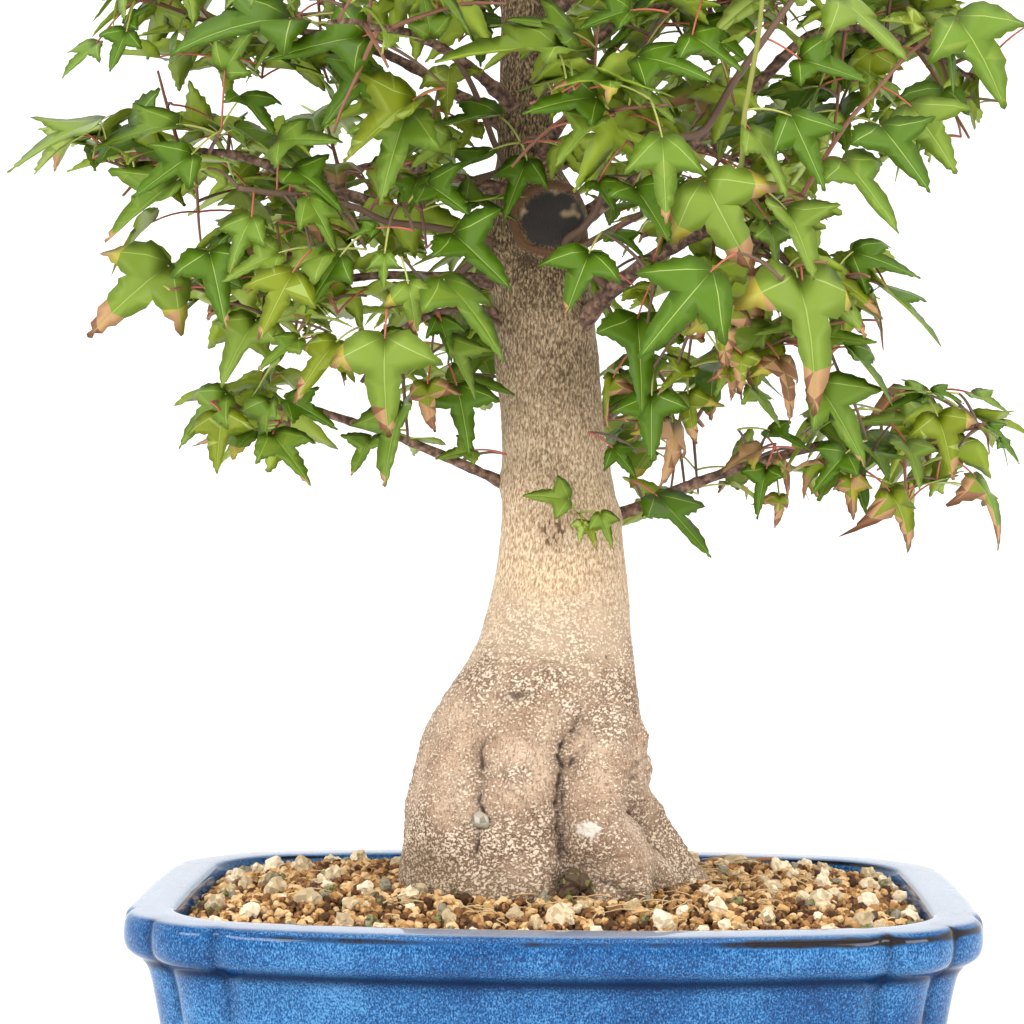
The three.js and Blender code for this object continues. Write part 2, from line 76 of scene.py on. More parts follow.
def principled(name, colour, roughness):
    material = bpy.data.materials.new(name)
    material.use_nodes = True
    shader = material.node_tree.nodes["Principled BSDF"]
    shader.inputs["Base Color"].default_value = (*colour, 1)
    shader.inputs["Roughness"].default_value = roughness
    return material, shader


def shown(name, mesh, materials):
    """The object that holds a mesh."""
    for material in materials:
        mesh.materials.append(material)
    piece = bpy.data.objects.new(name, mesh)
    scene.collection.objects.link(piece)
    return piece


def finished(name, shape, *materials):
    """The piece that a bmesh becomes."""
    mesh = bpy.data.meshes.new(name)
    shape.to_mesh(mesh)
    shape.free()
    mesh.shade_smooth()
    return shown(name, mesh, materials)


scene = bpy.context.scene
scene.view_settings.view_transform = "Standard"
camera = bpy.data.objects.new("photo_camera", bpy.data.cameras.new("photo_camera"))
camera.data.lens = CAMERA_LENS
camera.data.sensor_width = CAMERA_SENSOR
level = CAMERA_AHEAD.cross(Vector((0, 0, 1))).normalized()
right = math.cos(CAMERA_ROLL) * level + math.sin(CAMERA_ROLL) * level.cross(CAMERA_AHEAD)
turned = Matrix((right, right.cross(CAMERA_AHEAD), -CAMERA_AHEAD)).transposed()
camera.matrix_world = Matrix.Translation(CAMERA_PLACE) @ turned.to_4x4()
scene.collection.objects.link(camera)
scene.camera = camera

for light_name, (place, width, tall, watts) in SOFT_LIGHTS.items():
    light = bpy.data.lights.new(light_name + "_light", "AREA")
    light.shape = "RECTANGLE"
    light.size = width
    light.size_y = tall
    light.energy = watts
    lamp = bpy.data.objects.new(light_name + "_light", light)
    lamp.location = place
    lamp.rotation_euler = (LIGHT_AIM - Vector(place)).to_track_quat("-Z", "Y").to_euler()
    scene.collection.objects.link(lamp)
world = bpy.data.worlds.new("studio")
world.use_nodes = True
world.node_tree.nodes["Background"].inputs["Color"].default_value = (1, 1, 1, 1)
world.node_tree.nodes["Background"].inputs["Strength"].default_value = SKY_STRENGTH
scene.world = world

sweep = bmesh.new()
edge = sweep.verts.new((FLOOR_RADIUS, 0, 0))
sweep.edges.new((sweep.verts.new((0, 0, 0)), edge))
arc_middle = (FLOOR_RADIUS, 0, SWEEP_RADIUS)
arc = bmesh.ops.spin(sweep, geom=[edge], cent=arc_middle, axis=(0, -1, 0), angle=math.pi / 2, steps=12)
arc_end = next(part for part in arc["geom_last"] if isinstance(part, bmesh.types.BMVert))
sweep.edges.new((arc_end, sweep.verts.new((FLOOR_RADIUS + SWEEP_RADIUS, 0, WALL_TOP))))
profile = sweep.verts[:] + sweep.edges[:]
bmesh.ops.spin(
    sweep, geom=profile, cent=(0, 0, 0), axis=(0, 0, 1), angle=2 * math.pi, steps=96, use_merge=True
)
bmesh.ops.remove_doubles(sweep, verts=sweep.verts, dist=1e-4)
bmesh.ops.recalc_face_normals(sweep, faces=sweep.faces)
floor_paint, floor_shader = principled("floor_paint", (FLOOR_GREY,) * 3, 0.7)
floor_shader.inputs["Emission Color"].default_value = (1, 1, 1, 1)
floor_shader.inputs["Emission Strength"].default_value = FLOOR_GLOW
finished("studio_floor", sweep, floor_paint)

# The pot: slip-cast stoneware, a low rectangle whose round corners are reeded into two lobes, under a
# rolled rim. It is dipped in a mottled blue glaze that runs thin and dark on its edges.
MM = 0.001
POT_WIDTH = 300  # at the corners
POT_DEPTH = 194  # at the corners
SIDE_BOW = 3.5  # how far the short sides bow out in the middle
FRONT_BOW = 25  # how far the long sides bow out in the middle
BOW_REACH = 40  # from the pot's middle lines, where the bow is full
CORNERS = ((1, 1), (-1, 1), (-1, -1), (1, -1))  # in turn, by the signs of x and y
CORNER_RADIUS = 36
CORNER_STEPS = 41
CORNER_SHRINK = 0.5
WALL_ENDS = np.array([1.5, 3.0, 4.5, 6.5])  # rings' points beside a corner, where its last groove runs out
WALL_EVEN = 12  # from a corner, where a wall's even steps begin
WALL_STEPS = 26
GROOVE_SHARPNESS = 0.7
# Height, inset from the rim's outline and depth of the corner grooves: from the underside up the wall, over
# the rim and down to the floor inside.
POT_PROFILE = [
    (7, 21.6, 2.8), (9, 21, 3.0), (24, 17.4, 3.4), (42, 13.6, 3.8), (56, 10.9, 4.0), (62, 9.6, 4.0),
    (66, 8.2, 4.0), (68.8, 5.8, 3.9), (70.6, 3.0, 3.8), (72.4, 1.2, 3.7), (74.6, 0.3, 3.6), (77, 0, 3.5),
    (80, 0.2, 3.3), (82.6, 0.9, 3.0), (84.1, 2.1, 2.6), (84.8, 3.6, 2.0), (85, 6.5, 0.8), (85.1, 11, 0),
    (85.0, 16.2, 0), (84.5, 18.2, 0), (82.8, 19.3, 0), (79, 20.2, 0), (60, 23.2, 0), (36, 26.8, 0),
    (14, 30, 0),
]
PROFILE_STEPS = 3
FOOT_TOP = 8.5
FOOT_EDGE = 0.6  # how far a foot stands in from the wall above it
FOOT_INNER = (76, 48.5)
SOLE_SHRINK = 0.95
DRAIN_RADIUS = 9
DRAIN_SPREAD = 65
DRAIN_SIDES = 24
RIM_LIP = 7  # insets of the rim's outer lip and of its middle
RIM_MIDDLE = 12
OUTER_EDGE = (82.4, 1.9)  # height and half width of the bands where the glaze runs thin and where it pools deep blue with painted shade
INNER_EDGE = (83.6, 1.0)
NOTCH_BAND = (80, 16)
POOL_AND_SHADE_BAND = (68.2, 2.6)
UNDERSIDE_TOP = 20  # height up to which every level of the profile belongs to the outside
PALE_TOP_FROM = 84.2
PALE_TOP_RISE = 0.6
GLAZE_GLOSS = 0.3
POOLED_AND_SHADE_LOSS = 0.24  # of the gloss where the glaze pools and shade is painted, so the recess under the rim shows no reflection
BLUE_DEEP = (0, 38, 84)
BLUE_MIDDLE = (10, 80, 136)
BLUE_PALE = (80, 138, 184)
# Deep blue where the glaze pools, darkened further as painted shade in the recess under the rim and in the
# grooves
BLUE_POOLED_AND_SHADE = (0, 22, 56)
BLUE_PALE_TOP = (152, 162, 178)
GLAZE_THIN = (24, 17, 18)


def paint(red, green, blue):
    shares = np.array([red, green, blue]) / 255
    linear = np.where(shares <= 0.04045, shares / 12.92, ((shares + 0.055) / 1.055) ** 2.4)
    return tuple(float(share) for share in linear)


def bell(off, half):
    """1 where nothing is off, falling to 0 past the half width."""
    return np.exp(-((off / half) ** 2))


def smooth_line(points, steps):
    """A curve through points, with that many steps between neighbours."""
    points = np.asarray(points, float)
    padded = np.concatenate([2 * points[:1] - points[1:2], points, 2 * points[-1:] - points[-2:-1]])
    share = (np.arange(steps) / steps)[:, None]
    stretches = []
    for before, start, end, after in zip(padded, padded[1:], padded[2:], padded[3:]):
        bend = 2 * before - 5 * start + 4 * end - after
        curve = share * (bend + share * (3 * (start - end) + after - before))
        stretches.append(start + 0.5 * share * (end - before + curve))
    return np.concatenate([*stretches, points[-1:]])


def rolled(rings, shades=None):
    """A sheet rolled up through rings of equally many points, all in millimetres."""
    around = rings.shape[1]
    shape = bmesh.new()
    bmesh.ops.create_grid(shape, x_segments=around, y_segments=len(rings) - 1, size=1)
    wrapped = np.concatenate([rings, rings[:, :1]], axis=1).reshape(-1, 3) * MM
    for vert, place in zip(shape.verts, wrapped):
        vert.co = place
    for shade, values in (shades or {}).items():
        layer = shape.verts.layers.float.new(shade)
        for vert, value in zip(shape.verts, np.concatenate([values, values[:, :1]], axis=1).ravel()):
            vert[layer] = value
    bmesh.ops.remove_doubles(shape, verts=shape.verts, dist=1e-7)
    return shape


def settle(piece, nodes):
    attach(piece, "root")
    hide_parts(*nodes)


def bowed(plan):
    """Points of the straight-sided pot moved out to where the bowed sides carry them."""
    x, y = plan[..., 0], plan[..., 1]
    out_x = SIDE_BOW * (1 - (2 * y / POT_DEPTH) ** 2) * np.clip(x / BOW_REACH, -1, 1)
    out_y = FRONT_BOW * (1 - (2 * x / POT_WIDTH) ** 2) * np.clip(y / BOW_REACH, -1, 1)
    return np.stack([x + out_x, y + out_y], axis=-1)


def pot_ring(height, inset, groove):
    """The pot's outline at one level, and how deep in a corner groove each point lies."""
    radius = CORNER_RADIUS - CORNER_SHRINK * inset
    half = np.array([POT_WIDTH / 2 - inset - radius, POT_DEPTH / 2 - inset - radius])
    local = (np.arange(CORNER_STEPS) + 0.5) / CORNER_STEPS * math.pi / 2
    depths = 1 - np.abs(np.sin(4 * local)) ** GROOVE_SHARPNESS
    run_out = np.clip(1 - WALL_ENDS / WALL_ENDS[-1], 0, 1) ** 1.5
    places, grooves = [], []
    for corner, signs in enumerate(CORNERS):
        turn = local + corner * math.pi / 2
        ways = np.stack([np.cos(turn), np.sin(turn)], axis=1)
        places.append(half * signs + ways * (radius - groove * depths)[:, None])
        grooves.append(depths)
        after = (corner + 1) * math.pi / 2
        out = np.array([math.cos(after), math.sin(after)])
        along = np.array([-out[1], out[0]])
        length = 2 * half[0] if corner % 2 == 0 else 2 * half[1]
        middle = np.linspace(WALL_EVEN, length - WALL_EVEN, WALL_STEPS)
        runs = np.concatenate([WALL_ENDS, middle, length - WALL_ENDS[::-1]])
        fall = np.concatenate([run_out, np.zeros(WALL_STEPS), run_out[::-1]])
        start = half * signs + out * radius
        places.append(start + along * runs[:, None] - out * (groove * fall)[:, None])
        grooves.append(fall)
    plan = bowed(np.concatenate(places))
    return np.column_stack([plan, np.full(len(plan), height)]), np.concatenate(grooves)


pot_levels = smooth_line(POT_PROFILE, PROFILE_STEPS)
pot_rings, pot_grooves = zip(*(pot_ring(*level_row) for level_row in pot_levels))
pot_rings = np.array(pot_rings)
pot_grooves = np.array(pot_grooves)
level_height, level_inset = pot_levels[:, 0], pot_levels[:, 1]


def glaze_band(middle, half):
    return bell(level_height - middle, half)


rim_edge = glaze_band(*OUTER_EDGE) * (level_inset < RIM_LIP)
rim_edge += 0.95 * glaze_band(*INNER_EDGE) * (level_inset > RIM_MIDDLE)
outside = (level_inset < RIM_MIDDLE) | (level_height < UNDERSIDE_TOP)
notch = pot_grooves**4 * (outside * glaze_band(*NOTCH_BAND))[:, None]
# The recess under the rim and the corner grooves: partly glaze that pools, partly painted shade.
under_rim = glaze_band(*POOL_AND_SHADE_BAND) * (level_inset < RIM_MIDDLE)
reeds = pot_grooves**3 * outside[:, None]
rim_top = np.clip((level_height - PALE_TOP_FROM) / PALE_TOP_RISE, 0, 1)
pot_shape = rolled(pot_rings, {
    "thin": np.clip(rim_edge[:, None] + 0.75 * notch, 0, 1),
    "pooled_glaze_and_shade": np.clip(under_rim[:, None] + 0.7 * reeds, 0, 1),
    "pale_top": rim_top[:, None] * np.ones(pot_rings.shape[:2]),
})
rims = [part for part in pot_shape.edges if part.is_boundary]
for height in (POT_PROFILE[0][0], POT_PROFILE[-1][0]):
    flat = [part for part in rims if abs(part.verts[0].co.z - height * MM) < 1e-6]
    for side in (-1, 1):
        spot = Matrix.Translation((side * DRAIN_SPREAD * MM, 0, height * MM))
        drain = bmesh.ops.create_circle(
            pot_shape, cap_ends=False, segments=DRAIN_SIDES, radius=DRAIN_RADIUS * MM, matrix=spot
        )
        flat += dict.fromkeys(part for vert in drain["verts"] for part in vert.link_edges)
    bmesh.ops.triangle_fill(pot_shape, use_beauty=True, edges=flat)
drain_edges = [part for part in pot_shape.edges if part.is_boundary]
for side in (-1, 1):
    walls = [part for part in drain_edges if side * part.verts[0].co.x > 0]
    bmesh.ops.bridge_loops(pot_shape, edges=walls)
foot_ring = pot_ring(FOOT_TOP, POT_PROFILE[0][1] + FOOT_EDGE, POT_PROFILE[0][2])[0]
for signs in CORNERS:
    sides = foot_ring[:, :2] * signs
    corner_points = foot_ring[(sides[:, 0] > FOOT_INNER[0]) & (sides[:, 1] > FOOT_INNER[1])]
    inner = np.array([[FOOT_INNER[0] * signs[0], FOOT_INNER[1] * signs[1], FOOT_TOP]])
    outline = np.concatenate([corner_points, inner])
    turns = np.arctan2(outline[:, 1] - outline[:, 1].mean(), outline[:, 0] - outline[:, 0].mean())
    foot_verts = [pot_shape.verts.new(place * MM) for place in outline[np.argsort(turns)]]
    top = pot_shape.faces.new(foot_verts)
    sole = bmesh.ops.extrude_face_region(pot_shape, geom=[top])
    sole_verts = [part for part in sole["geom"] if isinstance(part, bmesh.types.BMVert)]
    bmesh.ops.translate(pot_shape, verts=sole_verts, vec=(0, 0, -FOOT_TOP * MM))
    foot_middle = Vector(np.append(outline.mean(axis=0)[:2], 0) * MM)
    centred = Matrix.Translation(-foot_middle)
    bmesh.ops.scale(pot_shape, verts=sole_verts, vec=(SOLE_SHRINK, SOLE_SHRINK, 1), space=centred)
bmesh.ops.recalc_face_normals(pot_shape, faces=pot_shape.faces)


class Share:
    """A number that varies over a material's surface. Sums of shares become the material's nodes."""

    def __init__(self, material, socket):
        self.material = material
        self.socket = socket

    def reckon(self, operation, first, second):
        made = add(self.material, "Math", {"operation": operation}, _0=first, _1=second)
        return Share(self.material, made.outputs["Value"])

    def __add__(self, other):
        return self.reckon("ADD", self, other)

    def __radd__(self, other):
        return self.reckon("ADD", other, self)

    def __sub__(self, other):
        return self.reckon("SUBTRACT", self, other)

    def __rsub__(self, other):
        return self.reckon("SUBTRACT", other, self)

    def __mul__(self, other):
        return self.reckon("MULTIPLY", self, other)

    def larger(self, other):
        return self.reckon("MAXIMUM", self, other)

    def rising(self, low, high):
        """0 where the share is below low, 1 above high, and smooth between."""
        smooth_step = {"interpolation_type": "SMOOTHSTEP"}
        made = add(self.material, "MapRange", smooth_step, Value=self, _1=low, _2=high)
        return Share(self.material, made.outputs["Result"])

    def ramp(self, positions, tones):
        """A colour that runs through some tones as the share grows past their positions."""
        made = add(self.material, "ValToRGB", Fac=self)
        elements = made.color_ramp.elements
        while len(elements) < len(tones):
            elements.new(0.5)
        for element, position, tone in zip(elements, positions, tones):
            element.position = position
            element.color = solid(tone)
        return made.outputs["Color"]

    def mix(self, first, second):
        """One colour that turns into another as the share grows, each a socket or a tone."""
        made = add(self.material, "Mix", {"data_type": "RGBA"}, _0=self, _6=solid(first), _7=solid(second))
        return made.outputs[2]


def solid(colour):
    """What a colour input takes: a tone with its opacity, or a socket as it is."""
    return (*paint(*colour), 1) if isinstance(colour, tuple) else colour


def add(material, kind, settings=None, **inputs):
    """A shader node, with each input set to a value or linked from a socket or a share."""
    tree = material.node_tree
    made = tree.nodes.new("ShaderNode" + kind)
    for setting, value in (settings or {}).items():
        setattr(made, setting, value)
    for name, value in inputs.items():
        target = made.inputs[int(name[1:]) if name[0] == "_" else name]
        source = value.socket if isinstance(value, Share) else value
        if isinstance(source, bpy.types.NodeSocket):
            tree.links.new(source, target)
        else:
            target.default_value = source
    return made


def object_place(material, stretch=(1, 1, 1)):
    """Object coordinates, drawn out by a stretch along each axis."""
    source = add(material, "TexCoord").outputs["Object"]
    return add(material, "Mapping", Vector=source, Scale=stretch).outputs["Vector"]


def coordinate(material, place, axis):
    return Share(material, add(material, "SeparateXYZ", Vector=place).outputs[axis])


def grain(material, place, scale, detail, distortion=0.0):
    """Noise with features about 1 / scale metres wide."""
    made = add(material, "TexNoise", Vector=place, Scale=scale, Detail=detail, Distortion=distortion)
    return Share(material, made.outputs["Fac"])


def attribute(material, name):
    """What the mesh says at each of its points."""
    return Share(material, add(material, "Attribute", {"attribute_name": name}).outputs["Fac"])


def coloured(shader, colour):
    shader.id_data.links.new(colour, shader.inputs["Base Color"])


def bumped(shader, height, depth, strength):
    made = add(height.material, "Bump", Height=height, Distance=depth, Strength=strength)
    shader.id_data.links.new(made.outputs["Normal"], shader.inputs["Normal"])


glaze, glaze_shader = principled("blue_glaze", paint(*BLUE_MIDDLE), 0.08)
# The pooled glaze and its painted shade lose gloss, so the recess under the rim reflects nothing.
sheen = GLAZE_GLOSS - attribute(glaze, "pooled_glaze_and_shade") * POOLED_AND_SHADE_LOSS
glaze.node_tree.links.new(sheen.socket, glaze_shader.inputs["Specular IOR Level"])
on_glaze = object_place(glaze)
flowing = object_place(glaze, (1, 1, 0.6))
flecks = grain(glaze, flowing, 1900, 2, 0.3)
clouds = grain(glaze, on_glaze, 32, 3)
mottle = flecks + (clouds - 0.5) * 0.45
blues = mottle.ramp((0.32, 0.5, 0.7), [BLUE_DEEP, BLUE_MIDDLE, BLUE_PALE])
# Pooled glaze with painted shade: deep blue in the recess under the rim and in the grooves.
blues = (attribute(glaze, "pooled_glaze_and_shade") * 0.95).mix(blues, BLUE_POOLED_AND_SHADE)
# The rim's top is painted a paler grey-blue.
blues = (attribute(glaze, "pale_top") * 0.6).mix(blues, BLUE_PALE_TOP)
to_the_right = coordinate(glaze, on_glaze, "X") * 1.2
runs_thin = attribute(glaze, "thin") + clouds * 2.0 + to_the_right
bare_edge = (runs_thin + flecks * 0.9).rising(2.15, 2.55)
coloured(glaze_shader, bare_edge.mix(blues, GLAZE_THIN))
bumped(glaze_shader, grain(glaze, flowing, 110, 2), 0.0003, 0.14)
pot = finished("glazed_pot", pot_shape, glaze)
settle(pot, ["pot"])

# The soil: loose fired-clay grains of a 3 to 5 mm grade, mounded towards the trunk, with pale pumice and dark
# crumbs among them, dry rootlets, a bare root at the back, and one pebble caught in the trunk's left crease.
SOIL_INSET = 20.2  # of the pot's inner wall at the soil's edge
SOIL_EDGE = 80
SOIL_TOP = 88
SOIL_SINK = 1.5  # of the grains' middles under that surface
MOUND_INSET = 62
BED_SINK = 3.4
BED_FOOT = (14.3, 30.2)
BED_WALL_GAP = 0.2
BED_MIDDLE = 64  # inset of the bed's last ring
BED_RINGS = 16
GRAIN_SPACING = 3.7
GRAIN_STRAY = 1.2
GRAIN_SIZES = (1.0, 2.4)
GRAIN_LIFT = 0.7
GRAIN_STRETCH = (0.72, 1.18)
GRAIN_LUMPS = 0.16  # how far a grain's points stand in or out, over its size
FOOT_MIDDLE = -8  # across, of the trunk's foot, and how near to it grains and pumice lie
GRAIN_FOOT_GAP = 38
PUMICE_FOOT_GAP = 44
STONE_COUNT = 36  # large pumice stones, with the steps that spread them evenly over the length and depth
STONE_STEPS = np.array([0.7549, 0.5698])
STONE_RADII = (3, 4.4)
STONE_LUMPS = 0.6  # height and pace of a stone's broad lumps, and of its fine roughness
STONE_LUMP_PACE = 1.3
STONE_ROUGH = 0.07
STONE_INSET = 27
STONE_TRUNK_GAP = 72
PUMICE_COUNT = 210
PUMICE_SIZES = (1.5, 2.9)
PUMICE_WALL_GAP = 3
CLUMP_COUNT = 12  # dark crumbs caught between the front roots
CLUMP_PLACE = (8.5, -47, 92)
CLUMP_SPREAD = (5, 3, 4)
CLUMP_LUMPS = 0.25
BED_SHADE_TONE = (62, 40, 20)
CLAY_TONES = [(74, 45, 20), (128, 87, 45), (168, 123, 72), (202, 160, 104), (224, 188, 138)]
PUMICE_TONES = [(186, 164, 128), (216, 196, 160), (236, 220, 190)]
DARK_TONES = [(84, 64, 46), (116, 118, 62), (140, 132, 116)]
ROOTLET_TONE = (190, 160, 114)
ROOTLET_COUNT = 84
ROOTLET_RING = (52, 104)  # how far from the trunk's foot rootlets start
ROOTLET_TURNS = (-0.4, 1.2)  # mean and spread of their bearing from it
ROOTLET_STEPS = 6
ROOTLET_STEP = 2.2
ROOTLET_BEND = 0.4  # spread of the turn at each step
ROOTLET_WALL_GAP = 4
ROOTLET_RADII = (0.36, 0.16)
BACK_ROOT_TONE = (154, 108, 66)
BACK_ROOT = [(58, 60, 1), (66, 62, 3.4), (75, 61, 2.6), (84, 62, 3.2), (92, 60, 0.6)]  # across, back, above
BACK_ROOT_RADII = (1.3, 0.6)
PEBBLE_TONES = [(134, 126, 108), (168, 160, 142), (192, 186, 170)]
PEBBLE_PLACE = (-25.8, -43.6, 114.8)
PEBBLE_SIZE = 3.3
PEBBLE_LUMPS = 0.2


class Bundle:
    """Many small meshes, in millimetres, that become one piece."""

    def __init__(self):
        self.points = []
        self.faces = []
        self.tones = []
        self.count = 0

    def take(self, points, faces, tones):
        self.points.append(points)
        self.faces += [tuple(corner + self.count for corner in face) for face in faces]
        self.tones += list(tones)
        self.count += len(points)

    def limb(self, path, radii, sides, tone):
        """Takes a round limb of one tone, whose radius runs evenly from its root to its tip."""
        points, faces = tube(path, np.linspace(*radii, len(path)), sides)
        self.take(points, faces, [tone] * len(faces))

    def piece(self, name, *materials, smooth=True):
        mesh = bpy.data.meshes.new(name)
        mesh.from_pydata(np.concatenate(self.points) * MM, [], self.faces)
        mesh.polygons.foreach_set("material_index", self.tones)
        if smooth:
            mesh.shade_smooth()
        return shown(name, mesh, materials)


def tube(path, radii, sides):
    """Points and faces of a round limb along a path, closed to a point at both ends."""
    tangents = np.gradient(path, axis=0)
    tangents /= np.linalg.norm(tangents, axis=1)[:, None]
    helper = np.eye(3)[np.argmin(np.abs(tangents[0]))]
    normal = np.cross(tangents[0], helper)
    turns = np.arange(sides) / sides * 2 * math.pi
    rings = []
    for spot, tangent, radius in zip(path, tangents, radii):
        normal = normal - tangent * (normal @ tangent)
        normal /= np.linalg.norm(normal)
        other = np.cross(tangent, normal)
        rings.append(spot + radius * (np.outer(np.cos(turns), normal) + np.outer(np.sin(turns), other)))
    points = np.concatenate([*rings, path[:1], path[-1:]])
    first, last = len(points) - 2, len(points) - 1
    faces = []
    for ring in range(len(path) - 1):
        for side in range(sides):
            after = (side + 1) % sides
            low, high = ring * sides, (ring + 1) * sides
            faces.append((low + side, low + after, high + after, high + side))
    top = (len(path) - 1) * sides
    for side in range(sides):
        after = (side + 1) % sides
        faces += [(first, after, side), (last, top + side, top + after)]
    return points, faces


def soil_inset(x, y):
    """How far in from the rim's outline a place of the straight-sided pot lies."""
    radius = CORNER_RADIUS - CORNER_SHRINK * SOIL_INSET
    past_x = np.abs(x) - (POT_WIDTH / 2 - SOIL_INSET - radius)
    past_y = np.abs(y) - (POT_DEPTH / 2 - SOIL_INSET - radius)
    outside = np.hypot(np.maximum(past_x, 0), np.maximum(past_y, 0))
    return SOIL_INSET + radius - outside - np.minimum(np.maximum(past_x, past_y), 0)


def soil_height(inset):
    return np.interp(inset, [SOIL_INSET, MOUND_INSET], [SOIL_EDGE, SOIL_TOP])


def soil_place(x, y, above):
    """The place over the mound of a point of the straight-sided pot."""
    return np.array([*bowed(np.array([x, y])), soil_height(soil_inset(x, y)) + above])


bed_rows = [(BED_FOOT[0], BED_FOOT[1], 0)]
for bed_inset in np.linspace(SOIL_INSET + BED_WALL_GAP, BED_MIDDLE, BED_RINGS):
    bed_rows.append((soil_height(bed_inset) - BED_SINK, bed_inset, 0))
bed_shape = rolled(np.array([pot_ring(*row)[0] for row in bed_rows]))
bmesh.ops.holes_fill(bed_shape, edges=bed_shape.edges)
bmesh.ops.recalc_face_normals(bed_shape, faces=bed_shape.faces)
# The bed under the grains is dark brown: painted shade that shows in the gaps between them.
bed_shade = principled("soil_bed_shade", paint(*BED_SHADE_TONE), 0.95)[0]
bed = finished("soil_bed", bed_shape, bed_shade)
settle(bed, ["soil"])


def ball(cuts):
    """Points and faces of a unit ball with a few cuts across each of its six sides."""
    shape = bmesh.new()
    bmesh.ops.create_cube(shape, size=1)
    bmesh.ops.subdivide_edges(shape, edges=shape.edges, cuts=cuts, use_grid_fill=True)
    points = np.array([vert.co.normalized() for vert in shape.verts])
    faces = [tuple(vert.index for vert in face.verts) for face in shape.faces]
    shape.free()
    return points, faces


CRUMB, CRUMB_FACES = ball(1)
STONE, STONE_FACES = ball(3)
soil_draw = np.random.default_rng(11)


def cast(shape, size, place):
    """A grain's points, drawn out and turned at random."""
    spin = np.linalg.qr(soil_draw.normal(size=(3, 3)))[0]
    if np.linalg.det(spin) < 0:
        spin[0] = -spin[0]
    return place + (shape * soil_draw.uniform(*GRAIN_STRETCH, 3) * size) @ spin


def crumb(place, size, lumps):
    return cast(CRUMB * (1 + lumps * soil_draw.uniform(-1, 1, (len(CRUMB), 1))), size, place)


def stone(place, size):
    """A rough stone with broad lumps."""
    start = soil_draw.uniform(0, 90, 3)
    lumps = np.array([noise.noise(Vector(STONE_LUMP_PACE * way + start)) for way in STONE])
    rough = soil_draw.uniform(-STONE_ROUGH, STONE_ROUGH, len(STONE))
    return cast(STONE * (1 + STONE_LUMPS * lumps + rough)[:, None], size, place)


def face_tones(middle, count, faces=CRUMB_FACES):
    """A grain's own tone, with a few of its faces one step lighter or darker."""
    steps = soil_draw.choice([-1, 0, 0, 0, 0, 1], len(faces))
    return np.clip(middle + steps, 0, count - 1)


def plain_finishes(kind, tones, roughness):
    """A plain material for each tone of a list, numbered, or of a table, named."""
    named = tones.items() if isinstance(tones, dict) else enumerate(tones)
    return [principled(f"{kind}_{name}", paint(*tone), roughness)[0] for name, tone in named]


grains = Bundle()
spacing_y = GRAIN_SPACING * math.sqrt(3) / 2 * POT_DEPTH / (POT_DEPTH + 1.4 * FRONT_BOW)
for row_index, y in enumerate(np.arange(-POT_DEPTH / 2, POT_DEPTH / 2, spacing_y)):
    for x in np.arange(-POT_WIDTH / 2, POT_WIDTH / 2, GRAIN_SPACING) + GRAIN_SPACING / 2 * (row_index % 2):
        spot_x, spot_y = np.array([x, y]) + soil_draw.uniform(-GRAIN_STRAY, GRAIN_STRAY, 2)
        size = soil_draw.uniform(*GRAIN_SIZES)
        place = soil_place(spot_x, spot_y, soil_draw.uniform(-GRAIN_LIFT, GRAIN_LIFT) - SOIL_SINK)
        under_foot = np.hypot(place[0] - FOOT_MIDDLE, place[1]) < GRAIN_FOOT_GAP
        if under_foot or soil_inset(spot_x, spot_y) < SOIL_INSET + 0.8 * size:
            continue
        tones = face_tones(soil_draw.integers(0, len(CLAY_TONES)), len(CLAY_TONES))
        grains.take(crumb(place, size, GRAIN_LUMPS), CRUMB_FACES, tones)
grain_piece = grains.piece("soil_grains", *plain_finishes("clay", CLAY_TONES, 0.9), smooth=False)
settle(grain_piece, ["soil"])

stones = Bundle()
stone_tones = PUMICE_TONES + DARK_TONES + [ROOTLET_TONE, BACK_ROOT_TONE]
placed, number = 0, 0
while placed < STONE_COUNT:
    number += 1
    shares = 2 * (number * STONE_STEPS % 1) - 1
    spot_x, spot_y = shares * (POT_WIDTH / 2 - STONE_INSET, POT_DEPTH / 2 - STONE_INSET)
    place = soil_place(spot_x, spot_y, 0)
    if np.hypot(place[0], place[1]) > STONE_TRUNK_GAP:
        placed += 1
        size = np.interp(number * math.pi * (3 - math.sqrt(5)) % 1, [0, 1], STONE_RADII)
        stones.take(stone(place, size), STONE_FACES, face_tones(soil_draw.integers(0, 3), 3, STONE_FACES))
for index in range(PUMICE_COUNT):
    inset = 0
    while inset < SOIL_INSET + PUMICE_WALL_GAP:
        spot_x, spot_y = soil_draw.uniform((-POT_WIDTH / 2, -POT_DEPTH / 2), (POT_WIDTH / 2, POT_DEPTH / 2))
        inset = soil_inset(spot_x, spot_y)
    dark = index % 3 == 0
    size = soil_draw.uniform(*PUMICE_SIZES)
    place = soil_place(spot_x, spot_y, 0.2 * size - 0.4)
    if np.hypot(place[0] - FOOT_MIDDLE, place[1]) < PUMICE_FOOT_GAP:
        continue
    tones = face_tones(soil_draw.integers(0, 3), 3, STONE_FACES) + (3 if dark else 0)
    stones.take(stone(place, size), STONE_FACES, tones)
for _ in range(CLUMP_COUNT):
    place = CLUMP_PLACE + soil_draw.uniform(-1, 1, 3) * CLUMP_SPREAD
    clump = crumb(place, soil_draw.uniform(*PUMICE_SIZES), CLUMP_LUMPS)
    stones.take(clump, CRUMB_FACES, face_tones(0, 3) + 3)
